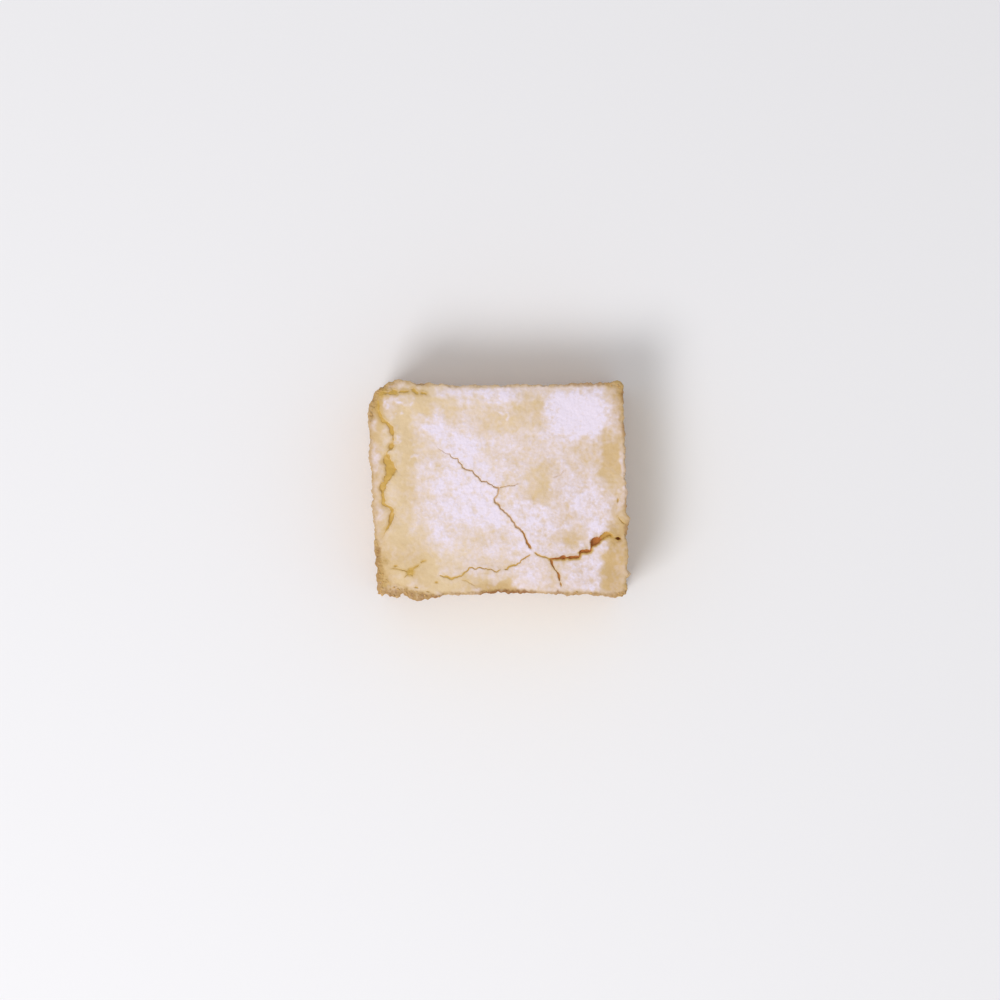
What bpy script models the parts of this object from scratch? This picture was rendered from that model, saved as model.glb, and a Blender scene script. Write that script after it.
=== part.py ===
"""A lemon bar cut from the corner of its baking pan.

Two layers are separate solids: a crumbly shortbread base and the lemon filling on it, whose
baked skin has cracked and pulled away from the pan's wall. X runs along the bar's long side,
Y across it and Z up, and the origin is the middle of the underside. Sizes are in millimetres
until make_object scales a finished mesh to metres.
"""

import math
import random

import bmesh
import bpy
from mathutils import Vector, noise
from mathutils.geometry import delaunay_2d_cdt, intersect_point_tri_2d

METRES_PER_MM = 0.001

# Heights above the plate
BAR_HEIGHT = 22.6
BASE_HEIGHT = 8.6
LAYER_GAP = 0.3

# Corners of the plan in order round the bar, as x, y: the first is the pan's own corner
CORNERS = [Vector(xy) for xy in ((-33.5, 28.3), (32.4, 28.3), (33.1, -27.7), (-31.7, -27.7))]
FILLING_CORNER_RADII = (7.5, 1.8, 2.4, 3.8)
BASE_CORNER_RADII = (7.5, 2.0, 2.6, 2.2)
# How far the middle of each side is drawn in, for the sides that face -X, +X, -Y and +Y
BOW_LEFT, BOW_RIGHT, BOW_FRONT, BOW_BACK = -0.1, 0.2, 0.9, 0.8

RING_POINTS = 208
ARC_STEPS = 8
SCATTER_STEP = 1.75
STATION_STEP = 1.25

# Each ripple is a wavelength and a height
PLAN_RIPPLES = ((9.0, 0.30), (2.6, 0.16))
SKIN_RIPPLES = ((15.0, 0.42), (5.0, 0.20))
FILLING_WALL_RIPPLES = ((6.0, 0.28),)
BASE_WALL_RIPPLES = ((4.2, 0.55), (1.9, 0.45))

# The filling's rounded top edge, as inset from the plan and drop below the skin
TOP_EDGE = ((0.95, 0.0), (0.30, 0.28), (0.0, 0.95))
FILLING_WALL_ROWS = 5
BASE_WALL_ROWS = 7
BASE_RIM_INSET = 0.6
FILLING_FOOT_INSET = 0.4

# The skin falls towards the two sides that stood against the pan's wall
PAN_EDGE_FALL = 0.9
PAN_EDGE_WIDTH = 3.2

# Places where the skin has sunk or chipped, as x, y, radius and depth
DENTS = (
    (-32.0, -27.6, 5.0, 2.0),
    (-25.5, -27.8, 3.2, 1.0),
    (3.2, -27.6, 3.0, 1.5),
    (9.6, -27.4, 1.6, 0.6),
    (29.4, -20.0, 3.0, 0.45),
    (28.9, 4.0, 3.2, 0.4),
)

# Crumbs and flakes that stand out of the sides, as x, y, z, reach and radius
FILLING_CRAGS = (
    (-25.5, 28.6, 20.6, 0.9, 1.4),
    (-15.1, 28.0, 21.0, 0.5, 0.8),
    (33.4, -8.0, 21.6, 1.0, 1.5),
    (-33.4, 14.0, 20.5, 0.4, 1.4),
)
BASE_CRAGS = (
    (32.9, -21.5, 6.6, 1.2, 1.1),
    (33.0, -16.4, 5.0, 0.7, 1.2),
    (-26.9, -27.4, 6.8, 1.1, 1.0),
    (-20.8, -27.6, 6.0, 1.6, 2.2),
    (-31.9, -18.3, 6.8, 1.2, 1.1),
    (-32.0, -14.6, 7.4, 0.9, 1.0),
    (-31.6, -25.2, 6.4, 1.1, 1.7),
    (-12.0, 28.0, 6.0, 0.7, 1.2),
    (18.0, -27.4, 4.6, 0.6, 1.3),
)

# Cracks in the skin: depth, then the route as x, y and width
DEEP_CRACK = (3.0, (
    (13.5, -17.7, 0.7), (17.1, -17.1, 1.1), (19.6, -17.1, 0.9), (20.6, -15.6, 1.0),
    (23.3, -15.5, 1.0), (24.8, -12.8, 2.0), (27.2, -11.3, 1.3), (28.9, -11.9, 0.6),
    (30.4, -12.4, 1.1), (31.4, -12.2, 0.5),
))
MAIN_CRACK = (1.6, (
    (-16.0, 11.7, 0.3), (-11.6, 8.4, 0.3), (-9.3, 5.5, 0.4), (-5.7, 3.8, 0.5),
    (-0.3, 0.7, 0.6), (-1.3, -2.8, 0.7), (2.6, -6.8, 0.6), (6.1, -11.0, 0.8),
    (7.8, -14.6, 0.8), (10.4, -16.6, 0.8), (13.5, -17.7, 0.8),
))
FRONT_CRACK = (1.6, (
    (13.5, -17.7, 0.8), (14.9, -21.3, 0.7), (15.4, -23.3, 0.6), (15.9, -25.4, 0.3),
))
LONG_CRACK = (1.1, (
    (8.3, -15.9, 0.5), (3.9, -19.6, 0.6), (-0.6, -20.4, 0.5), (-6.7, -19.9, 0.6),
    (-9.7, -21.3, 0.6), (-12.9, -22.3, 0.7), (-15.6, -21.6, 0.3),
))
CORNER_STAR = (1.1, (
    (-26.9, -19.6, 0.4), (-25.1, -20.9, 0.4), (-22.9, -21.3, 1.3), (-22.2, -19.8, 0.6),
    (-20.2, -18.3, 0.5), (-18.8, -18.0, 0.3),
))
TORN_EDGE = (1.2, (
    (-31.5, 20.5, 0.5), (-30.3, 18.5, 0.8), (-28.1, 16.8, 1.0), (-27.5, 14.6, 1.0),
    (-27.8, 11.3, 1.2), (-28.8, 8.0, 1.8), (-28.0, 5.6, 3.0), (-28.6, 3.5, 1.8),
    (-30.1, 1.3, 2.0), (-30.2, -3.1, 1.3), (-28.6, -4.1, 1.0), (-27.4, -5.6, 1.4),
    (-27.7, -7.3, 1.3), (-28.4, -9.7, 0.7), (-30.1, -13.7, 0.3),
))
CORNER_TEAR = (0.8, (
    (-30.9, 23.2, 0.3), (-29.8, 24.9, 0.7), (-26.6, 25.2, 0.8), (-21.7, 25.4, 0.7),
    (-18.5, 24.8, 0.4),
))
CRACKS = (
    DEEP_CRACK, MAIN_CRACK, FRONT_CRACK, LONG_CRACK, CORNER_STAR, TORN_EDGE, CORNER_TEAR,
)
NARROWEST_GROOVE = 0.6
JAG = 0.22
CLEAR_OF_CRACK = 0.75

# Linear RGB colour and roughness of each layer
BASE_FINISH = ((0.58, 0.35, 0.15), 0.85)
FILLING_FINISH = ((0.75, 0.53, 0.30), 0.6)


def ripple(position, ripples, lift=0.0):
    """Sum of smooth noises at the listed wavelengths, each up to its height."""
    return sum(
        height * noise.noise(position / wavelength + Vector((0, 0, lift)))
        for wavelength, height in ripples
    )


def plan_outline(radii):
    """Evenly spaced points round the plan, each with its outward normal."""
    path = []
    for index, corner in enumerate(CORNERS):
        towards_last = (CORNERS[index - 1] - corner).normalized()
        towards_next = (CORNERS[(index + 1) % len(CORNERS)] - corner).normalized()
        start = corner + towards_last * radii[index]
        end = corner + towards_next * radii[index]
        for step in range(ARC_STEPS + 1):
            t = step / ARC_STEPS
            path.append(start.lerp(corner, t).lerp(corner.lerp(end, t), t))
    points = spaced_evenly(path, RING_POINTS)
    outline = []
    for index, point in enumerate(points):
        along = points[(index + 1) % RING_POINTS] - points[index - 1]
        normal = Vector((-along.y, along.x)).normalized()
        outline.append((point - normal * bow_at(point, normal), normal))
    return outline


def spaced_evenly(path, count):
    """Points at equal steps along a closed path."""
    legs = list(zip(path, path[1:] + path[:1]))
    length = sum((end - start).length for start, end in legs)
    points = []
    travelled = 0.0
    for start, end in legs:
        leg = (end - start).length
        while len(points) < count and len(points) * length / count <= travelled + leg:
            share = (len(points) * length / count - travelled) / leg
            points.append(start.lerp(end, share))
        travelled += leg
    return points


def bow_at(point, normal):
    """How far the side that faces along normal is drawn in here."""
    half_length, half_width = CORNERS[1].x, CORNERS[1].y
    bow_x = BOW_RIGHT if normal.x > 0 else BOW_LEFT
    bow_y = BOW_BACK if normal.y > 0 else BOW_FRONT
    from_middle_x = 1 - min(1.0, abs(point.x) / half_length) ** 2
    from_middle_y = 1 - min(1.0, abs(point.y) / half_width) ** 2
    return bow_x * from_middle_y * normal.x**2 + bow_y * from_middle_x * normal.y**2


def crag_reach(position, crags):
    """How far the crumbs and flakes listed stand out of the side here."""
    reach = 0.0
    for x, y, z, height, radius in crags:
        away = (position - Vector((x, y, z))).length / radius
        reach = max(reach, height * math.exp(-away * away))
    return reach


def wall_ring(outline, z_of, inset, wall_ripples, crags):
    """One ring of wall points; z_of gives the height of a plan point."""
    ring = []
    for point, normal in outline:
        z = z_of(point - normal * inset)
        position = Vector((point.x, point.y, z))
        out = ripple(position * Vector((1, 1, 0)), PLAN_RIPPLES)
        out += ripple(position, wall_ripples, lift=3.0) + crag_reach(position, crags) - inset
        ring.append(Vector((*(point + normal * out), z)))
    return ring


def crack_stations(route, rng):
    """The route with jagged points added between those listed, as (point, half width)."""
    stations = []
    for (ax, ay, a_width), (bx, by, b_width) in zip(route, route[1:]):
        start, end = Vector((ax, ay)), Vector((bx, by))
        steps = max(1, math.ceil((end - start).length / STATION_STEP))
        sideways = Vector((ay - by, bx - ax)).normalized()
        for step in range(steps):
            t = step / steps
            width = max(NARROWEST_GROOVE, a_width + (b_width - a_width) * t)
            jag = rng.uniform(-JAG, JAG) if step else 0.0
            stations.append((start.lerp(end, t) + sideways * jag, width / 2))
    stations.append((Vector(route[-1][:2]), NARROWEST_GROOVE / 2))
    return stations


def all_crack_legs():
    """Every straight leg of every crack: depth, and point and half width at both ends."""
    rng = random.Random(7)
    legs = []
    for depth, route in CRACKS:
        stations = crack_stations(route, rng)
        for index, (start, end) in enumerate(zip(stations, stations[1:])):
            fade_in = min(1.0, (index + 1) / 2)
            legs.append((depth * fade_in, start, end))
    return legs


CRACK_LEGS = all_crack_legs()


def crack_depth(point):
    """Depth of the deepest groove over this plan point."""
    deepest = 0.0
    for depth, (start, start_half), (end, end_half) in CRACK_LEGS:
        along = end - start
        t = max(0.0, min(1.0, (point - start).dot(along) / along.length_squared))
        half = start_half + (end_half - start_half) * t
        away = (point - start.lerp(end, t)).length / half
        if away < 1:
            deepest = max(deepest, depth * (1 - away * away))
    return deepest


def skin_height(point):
    """Height of the baked skin over a plan point, cracks included."""
    height = BAR_HEIGHT - 0.3 + ripple(point.to_3d(), SKIN_RIPPLES)
    from_pan = min(point.x - CORNERS[0].x, CORNERS[0].y - point.y)
    height -= PAN_EDGE_FALL * math.exp(-((max(0.0, from_pan) / PAN_EDGE_WIDTH) ** 2))
    for x, y, radius, depth in DENTS:
        away = (point - Vector((x, y))).length / radius
        height -= depth * math.exp(-away * away)
    return height - crack_depth(point)


def inside(point, ring):
    """True if the plan point lies within the closed ring."""
    centre = Vector((0.0, 0.0))
    pairs = zip(ring, ring[1:] + ring[:1])
    return any(intersect_point_tri_2d(point, centre, a.xy, b.xy) for a, b in pairs)


def groove_lines():
    """Centre and both banks of each crack, as lists of plan points."""
    lines = []
    for _, (start, start_half), (end, end_half) in CRACK_LEGS:
        sideways = (end - start).orthogonal().normalized()
        lines.append((start, end))
        lines.append((start + sideways * start_half, end + sideways * end_half))
        lines.append((start - sideways * start_half, end - sideways * end_half))
    return lines


def scattered_points(ring):
    """Plan points over the skin on a loose grid, clear of the edge and the cracks."""
    rng = random.Random(11)
    points = []
    columns = int(2 * CORNERS[2].x / SCATTER_STEP)
    rows = int(2 * CORNERS[0].y / SCATTER_STEP)
    for column in range(columns):
        for row in range(rows):
            x = -CORNERS[2].x + (column + 0.5 * (row % 2)) * SCATTER_STEP
            y = -CORNERS[0].y + row * SCATTER_STEP
            point = Vector((x + rng.uniform(-0.3, 0.3), y + rng.uniform(-0.3, 0.3)))
            near_edge = any((point - edge.xy).length < CLEAR_OF_CRACK for edge in ring)
            if not near_edge and inside(point, ring) and clear_of_cracks(point):
                points.append(point)
    return points


def clear_of_cracks(point):
    """True if the point keeps its distance from every groove."""
    for _, (start, start_half), (end, end_half) in CRACK_LEGS:
        along = end - start
        t = max(0.0, min(1.0, (point - start).dot(along) / along.length_squared))
        if (point - start.lerp(end, t)).length < max(start_half, end_half) + CLEAR_OF_CRACK:
            return False
    return True


def skin_triangles(ring):
    """Plan points and triangles that fill the ring, with edges along every groove."""
    count = len(ring)
    points = [point.xy for point in ring]
    edges = [(index, (index + 1) % count) for index in range(count)]
    for start, end in groove_lines():
        if inside(start, ring) and inside(end, ring):
            edges.append((len(points), len(points) + 1))
            points += [start, end]
    points += scattered_points(ring)
    found = delaunay_2d_cdt(points, edges, [], 1, 0.05)
    return found[0], found[2]


def join_rings(bm, lower, upper):
    """Quads between two rings of the same count."""
    count = len(lower)
    for index in range(count):
        after = (index + 1) % count
        bm.faces.new((lower[index], lower[after], upper[after], upper[index]))


def add_wall(bm, rings):
    """Wall of several rings from the bottom up; the vertices of every ring."""
    made = [[bm.verts.new(position) for position in ring] for ring in rings]
    for lower, upper in zip(made, made[1:]):
        join_rings(bm, lower, upper)
    return made


def make_object(name, bm, finish):
    """Finishes the solid: closed, faces outwards, in metres, with its own material."""
    bmesh.ops.remove_doubles(bm, verts=bm.verts, dist=0.02)
    bmesh.ops.recalc_face_normals(bm, faces=bm.faces)
    bmesh.ops.scale(bm, vec=Vector((1, 1, 1)) * METRES_PER_MM, verts=bm.verts)
    mesh = bpy.data.meshes.new(name)
    bm.to_mesh(mesh)
    bm.free()
    mesh.shade_smooth()
    colour, roughness = finish
    material = bpy.data.materials.new(name)
    material.use_nodes = True
    shader = material.node_tree.nodes["Principled BSDF"]
    shader.inputs["Base Color"].default_value = (*colour, 1.0)
    shader.inputs["Roughness"].default_value = roughness
    shader.inputs["Metallic"].default_value = 0.0
    mesh.materials.append(material)
    made = bpy.data.objects.new(name, mesh)
    bpy.context.scene.collection.objects.link(made)
    return made


def make_base():
    """Shortbread slab with a crumbly side and a flat underside."""
    outline = plan_outline(BASE_CORNER_RADII)
    rings = []
    for row in range(BASE_WALL_ROWS + 1):
        z = BASE_HEIGHT * row / BASE_WALL_ROWS
        inset = BASE_RIM_INSET if row in (0, BASE_WALL_ROWS) else 0.0
        rings.append(wall_ring(outline, lambda _, z=z: z, inset, BASE_WALL_RIPPLES, BASE_CRAGS))
    bm = bmesh.new()
    wall = add_wall(bm, rings)
    bm.faces.new(reversed(wall[0]))
    bm.faces.new(wall[-1])
    return make_object("shortbread_base", bm, BASE_FINISH)


def make_filling():
    """Lemon filling with its rounded edge and the cracked skin on top."""
    outline = plan_outline(FILLING_CORNER_RADII)
    foot = BASE_HEIGHT + LAYER_GAP
    rings = []
    for row in range(FILLING_WALL_ROWS):
        share = row / FILLING_WALL_ROWS
        inset = FILLING_FOOT_INSET if row == 0 else 0.0
        shoulder = TOP_EDGE[-1][1]
        rings.append(wall_ring(
            outline,
            lambda p, share=share: foot + (skin_height(p) - shoulder - foot) * share,
            inset, FILLING_WALL_RIPPLES, FILLING_CRAGS,
        ))
    for inset, drop in reversed(TOP_EDGE):
        rings.append(wall_ring(
            outline, lambda p, drop=drop: skin_height(p) - drop,
            inset, FILLING_WALL_RIPPLES, FILLING_CRAGS,
        ))
    bm = bmesh.new()
    wall = add_wall(bm, rings)
    bm.faces.new(reversed(wall[0]))
    points, triangles = skin_triangles(rings[-1])
    top = [bm.verts.new((*point, skin_height(point))) for point in points]
    for triangle in triangles:
        bm.faces.new([top[index] for index in triangle])
    snap_to_ring(top, rings[-1])
    return make_object("lemon_filling", bm, FILLING_FINISH)


def snap_to_ring(verts, ring):
    """Sets each vertex that lies on the ring to the ring's own height."""
    for position in ring:
        nearest = min(verts, key=lambda vert: (vert.co.xy - position.xy).length)
        nearest.co = position


def main():
    for stale in list(bpy.data.objects):
        bpy.data.objects.remove(stale)
    make_base()
    make_filling()


main()
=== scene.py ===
import math
import random

import bmesh
import bpy
import numpy as np
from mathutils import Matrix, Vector, noise
from mathutils.geometry import delaunay_2d_cdt
from mathutils.kdtree import KDTree


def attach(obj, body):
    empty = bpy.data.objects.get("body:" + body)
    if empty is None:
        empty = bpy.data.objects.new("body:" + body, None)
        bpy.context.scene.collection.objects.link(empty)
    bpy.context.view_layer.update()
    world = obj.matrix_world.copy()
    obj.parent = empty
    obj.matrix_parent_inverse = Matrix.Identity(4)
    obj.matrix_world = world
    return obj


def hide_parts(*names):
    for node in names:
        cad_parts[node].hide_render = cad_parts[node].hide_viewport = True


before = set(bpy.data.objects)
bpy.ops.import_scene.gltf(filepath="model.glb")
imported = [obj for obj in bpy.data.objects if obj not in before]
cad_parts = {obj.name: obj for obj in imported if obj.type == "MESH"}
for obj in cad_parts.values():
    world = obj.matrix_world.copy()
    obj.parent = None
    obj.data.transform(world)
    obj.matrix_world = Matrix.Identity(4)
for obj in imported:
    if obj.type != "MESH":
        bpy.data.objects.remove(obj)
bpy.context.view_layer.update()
mm = 0.001

# A lemon bar from the corner of its pan: shortbread, lemon curd and a cracked, sugared skin.
# All sizes here are millimetres, in the same frame as the solids, until makePiece scales them.

bar = {
    "height": 22.6,
    "baseHeight": 8.6,
    "corners": ((-33.5, 28.3), (31.9, 28.2), (33.0, -27.5), (-31.6, -27.6)),  # first: the pan's own corner
    "fillingRadii": (9.0, 1.8, 2.4, 3.8),
    "baseRadii": (8.5, 2.0, 2.6, 2.2),
    "bows": (-0.35, 0.0, 0.9, 1.15),  # how far the left, right, front and back sides draw in
    # Places where a side draws in further, or stands out where the depth is below 0: x, y, radius, depth
    "bites": (
        (0.5, -26.6, 3.0, 0.5), (6.0, -26.6, 3.2, 0.3), (15.3, -26.9, 1.6, 0.3), (21.0, -27.0, 4.0, 0.25),
        (-10.5, -27.0, 2.6, -0.3), (-15.8, -27.0, 1.8, -0.8), (-19.4, -27.2, 2.0, -0.9),
        (-22.0, -27.2, 1.8, -0.9), (-25.0, -27.3, 0.9, 0.6), (-29.2, -27.0, 1.1, 0.7),
        (-11.0, 27.2, 3.6, 0.35), (-25.6, 28.0, 2.8, -0.85), (-33.2, 13.0, 8.0, -0.4),
        (-31.9, -21.0, 4.5, 0.5), (31.9, 20.0, 4.0, 0.3), (-32.4, -12.0, 3.0, 0.4), (32.6, 0.0, 2.2, -0.35)),
    "planRipples": ((9.0, 0.24), (2.6, 0.14)),  # wavelength and height of each
    "arcSteps": 16,
}


def noiseAt(points, wavelength, lift=0.0):
    spots = np.zeros((len(points), 3))
    spots[:, :points.shape[1]] = points / wavelength
    spots[:, 2] += lift
    return np.array([noise.noise(spot) for spot in spots.tolist()])


def ripple(points, ripples, lift=0.0):
    return sum(height * noiseAt(points, wavelength, lift) for wavelength, height in ripples)


def smoothStep(low, high, values):
    share = np.clip((values - low) / (high - low), 0.0, 1.0)
    return share * share * (3.0 - 2.0 * share)


def planOutline(radii, count):
    # Evenly spaced points round the plan, clockwise from above, with outward normals
    corners = [Vector(xy) for xy in bar["corners"]]
    path = []
    for index, corner in enumerate(corners):
        towardsLast = (corners[index - 1] - corner).normalized()
        towardsNext = (corners[(index + 1) % 4] - corner).normalized()
        start = corner + towardsLast * radii[index]
        end = corner + towardsNext * radii[index]
        for step in range(bar["arcSteps"] + 1):
            t = step / bar["arcSteps"]
            path.append(start.lerp(corner, t).lerp(corner.lerp(end, t), t))
    path = np.array([tuple(point) for point in path + path[:1]])
    travelled = np.concatenate(([0.0], np.cumsum(np.linalg.norm(np.diff(path, axis=0), axis=1))))
    stops = np.arange(count) * travelled[-1] / count
    points = np.column_stack([np.interp(stops, travelled, path[:, axis]) for axis in (0, 1)])
    along = np.roll(points, -1, axis=0) - np.roll(points, 1, axis=0)
    normals = np.column_stack((-along[:, 1], along[:, 0]))
    normals /= np.linalg.norm(normals, axis=1)[:, None]
    left, right, front, back = bar["bows"]
    bowX = np.where(normals[:, 0] > 0, right, left)
    bowY = np.where(normals[:, 1] > 0, back, front)
    middleX = 1 - np.minimum(1.0, np.abs(points[:, 0]) / corners[1].x) ** 2
    middleY = 1 - np.minimum(1.0, np.abs(points[:, 1]) / corners[1].y) ** 2
    bow = bowX * middleY * normals[:, 0] ** 2 + bowY * middleX * normals[:, 1] ** 2
    return points - normals * (bow + bumps(points, bar["bites"]))[:, None], normals


def cragReach(positions, crags):
    reach = np.zeros(len(positions))
    for x, y, z, height, radius in crags:
        away = np.linalg.norm(positions - (x, y, z), axis=1) / radius
        reach = np.maximum(reach, height * np.exp(-away * away))
    return reach


def bumps(points, places):
    # Sum of soft round hills, each x, y, radius and height
    total = np.zeros(len(points))
    for x, y, radius, height in places:
        away = np.linalg.norm(points - (x, y), axis=1) / radius
        total += height * np.exp(-away * away)
    return total


def placesAt(points, places, soft=0.45):
    # 1 in the middle of a place and 0 outside it; each is x, y, half length, half width and strength
    total = np.zeros(len(points))
    for x, y, halfLength, halfWidth, strength in places:
        radius = np.hypot((points[:, 0] - x) / halfLength, (points[:, 1] - y) / halfWidth)
        total = np.maximum(total, strength * (1 - smoothStep(1 - soft, 1 + soft, radius)))
    return total


def crumbCells(positions, cells):
    # Rounded crumbs packed side by side: how far each point stands out, and how deep it lies between crumbs,
    # for painted shade
    total = np.zeros(len(positions))
    creviceShade = np.zeros(len(positions))
    for size, relief in cells:
        bulge = []
        for spot in (positions / size).tolist():
            distances = noise.voronoi(spot)[0]
            bulge.append(distances[1] - distances[0])
        bulge = np.clip(np.array(bulge) / 0.55, 0.0, 1.0)
        crown = np.sqrt(1 - (1 - bulge) ** 2)
        total += relief * (crown - 0.62)
        creviceShade += (1 - crown) * relief
    return total, creviceShade


def depthInside(points, ring, normals):
    # How far inside the ring each plan point lies
    tree = KDTree(len(ring))
    for index, point in enumerate(ring):
        tree.insert((*point, 0.0), index)
    tree.balance()
    nearest = np.array([tree.find((x, y, 0.0))[1] for x, y in points.tolist()])
    return np.sum((ring[nearest] - points) * normals[nearest], axis=1)


def cutShare(normals):
    # 1 on the two sides that a knife cut, 0 on the two that stood against the pan
    return smoothStep(-0.35, 0.35, normals[:, 0] - normals[:, 1])


def makePiece(name, points, faces, attributes, material):
    mesh = bpy.data.meshes.new(name)
    mesh.from_pydata((points * mm).tolist(), [], faces)
    for key, values in attributes.items():
        mesh.attributes.new(key, "FLOAT", "POINT").data.foreach_set("value", values.astype(np.float32))
    work = bmesh.new()
    work.from_mesh(mesh)
    bmesh.ops.recalc_face_normals(work, faces=work.faces)
    work.to_mesh(mesh)
    work.free()
    mesh.shade_smooth()
    mesh.materials.append(material)
    piece = bpy.data.objects.new(name, mesh)
    bpy.context.scene.collection.objects.link(piece)
    return piece


def ringAt(outline, normals, out, z):
    return np.column_stack((outline + normals * out[:, None], z))


def tubeFaces(count, rings):
    # Quads between rings of the same count, ring 0 the lowest, and a face over each end
    faces = []
    for low in range(0, (rings - 1) * count, count):
        high = low + count
        for index in range(count):
            after = (index + 1) % count
            faces.append((low + after, low + index, high + index, high + after))
    ends = (range(count), reversed(range((rings - 1) * count, rings * count)))
    return faces + [tuple(end) for end in ends]


# Materials

def linearColour(hexColour):
    channels = [int(hexColour[index:index + 2], 16) / 255 for index in (1, 3, 5)]
    return (*[c / 12.92 if c <= 0.04045 else ((c + 0.055) / 1.055) ** 2.4 for c in channels], 1.0)


def linearColours(look):
    return {key: linearColour(value) for key, value in look.items() if isinstance(value, str)}


def addNode(tree, kind, inputs=None, **settings):
    # Adds a node; an input takes a value, a socket, or a node whose first output is meant
    node = tree.nodes.new(kind)
    for key, value in settings.items():
        setattr(node, key, value)
    for key, value in (inputs or {}).items():
        if isinstance(value, bpy.types.Node):
            value = next(socket for socket in value.outputs if socket.enabled)
        if isinstance(value, bpy.types.NodeSocket):
            tree.links.new(value, node.inputs[key])
        else:
            node.inputs[key].default_value = value
    return node


def patternScale(sizeMm):
    return 1 / (sizeMm * mm)  # a texture's scale for a feature of this size


def newMaterial(name):
    material = bpy.data.materials.new(name)
    material.use_nodes = True
    tree = material.node_tree
    return material, tree, tree.nodes["Principled BSDF"]


skinLook = {
    "pale": "#E6CDA8",  # bare skin, thinly baked
    "toasted": "#CFAE7C",
    "tan": "#C4A266",  # crumbly places where the skin has worn away
    "brown": "#9B6C3F",
    "golden": "#CDA758",  # curd that shows in a crack
    "shadedCrackCurd": "#BC783B",  # curd colour with painted shade, darker and redder, for the depths of the cracks
    "sugar": "#EFE3F3",
    "fleckSize": 0.9,
    "fleckToast": 0.6,  # how far the flecks lighten and darken the bare skin
    "fleckBrown": (1.1, -0.50),  # and the crumbly places
    "grainSize": 0.34,
    "grainContrast": 1.5,
    "grainCover": 0.55,
    "skinRoughness": 0.62,
    "crackRoughness": 0.36,
    "sugarRoughness": 0.93,
    "reliefDepth": 0.12,
}


def bakedSkinMaterial():
    # Baked meringue-like skin under sieved icing sugar: matt, cream, mottled where the sugar has
    # melted in, with moist golden curd shining a little in the cracks
    material, tree, shader = newMaterial("baked_skin_under_icing_sugar")
    paint = linearColours(skinLook)
    place = addNode(tree, "ShaderNodeTexCoord").outputs["Object"]
    sugar, crack, hue, toast, worn, brown = [
        addNode(tree, "ShaderNodeAttribute", attribute_name=name).outputs["Fac"]
        for name in ("sugar", "crack", "crackHue", "skinToast", "worn", "brown")]
    fleck = addNode(tree, "ShaderNodeTexNoise", {
        "Vector": place, "Scale": patternScale(skinLook["fleckSize"]), "Detail": 3.0, "Roughness": 0.6})
    grain = addNode(tree, "ShaderNodeTexNoise", {
        "Vector": place, "Scale": patternScale(skinLook["grainSize"]), "Detail": 2.0, "Roughness": 0.7})
    fleckToast = addNode(tree, "ShaderNodeMath", {
        0: fleck.outputs["Fac"], 1: skinLook["fleckToast"], 2: -skinLook["fleckToast"] / 2},
        operation="MULTIPLY_ADD")
    toastHere = addNode(tree, "ShaderNodeMath", {0: toast, 1: fleckToast}, operation="ADD", use_clamp=True)
    bare = addNode(tree, "ShaderNodeMix", {0: toastHere, 6: paint["pale"], 7: paint["toasted"]},
                   data_type="RGBA")
    crumbFleck = addNode(tree, "ShaderNodeMath", {
        0: fleck.outputs["Fac"], 1: skinLook["fleckBrown"][0], 2: skinLook["fleckBrown"][1]},
        operation="MULTIPLY_ADD")
    # The worn and brown attributes also paint shade along the front and left rims
    wornBrown = addNode(tree, "ShaderNodeMath", {0: brown, 1: crumbFleck}, operation="ADD", use_clamp=True)
    crumbly = addNode(tree, "ShaderNodeMix", {0: wornBrown, 6: paint["tan"], 7: paint["brown"]},
                      data_type="RGBA")
    edged = addNode(tree, "ShaderNodeMix", {0: worn, 6: bare, 7: crumbly}, data_type="RGBA")
    # Curd in a crack, with painted shade mixed in by the crack's hue
    inside = addNode(tree, "ShaderNodeMix", {0: hue, 6: paint["golden"], 7: paint["shadedCrackCurd"]},
                     data_type="RGBA")
    opened = addNode(tree, "ShaderNodeMix", {0: crack, 6: edged, 7: inside}, data_type="RGBA")
    # The grain of the sugar shows more the thicker it lies
    grainSugar = addNode(tree, "ShaderNodeMath", {
        0: grain.outputs["Fac"], 1: skinLook["grainContrast"], 2: -skinLook["grainContrast"] / 2},
        operation="MULTIPLY_ADD")
    grainHere = addNode(tree, "ShaderNodeMath", {0: grainSugar, 1: sugar}, operation="MULTIPLY")
    cover = addNode(tree, "ShaderNodeMath", {0: grainHere, 1: skinLook["grainCover"], 2: sugar},
                    operation="MULTIPLY_ADD", use_clamp=True)
    dusted = addNode(tree, "ShaderNodeMix", {0: cover, 6: opened, 7: paint["sugar"]}, data_type="RGBA")
    skinGloss = addNode(tree, "ShaderNodeMapRange", {
        "Value": crack, "To Min": skinLook["skinRoughness"], "To Max": skinLook["crackRoughness"]})
    gloss = addNode(tree, "ShaderNodeMix", {0: cover, 2: skinGloss, 3: skinLook["sugarRoughness"]},
                    data_type="FLOAT")
    relief = addNode(tree, "ShaderNodeMath", {
        0: grain.outputs["Fac"], 1: 0.6, 2: fleck.outputs["Fac"]}, operation="MULTIPLY_ADD")
    bump = addNode(tree, "ShaderNodeBump", {
        "Height": relief, "Distance": skinLook["reliefDepth"] * mm, "Strength": 0.7})
    tree.links.new(dusted.outputs[2], shader.inputs["Base Color"])
    tree.links.new(gloss.outputs[0], shader.inputs["Roughness"])
    tree.links.new(bump.outputs["Normal"], shader.inputs["Normal"])
    shader.inputs["IOR"].default_value = 1.45
    shader.inputs["Specular IOR Level"].default_value = 0.3
    return material


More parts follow.
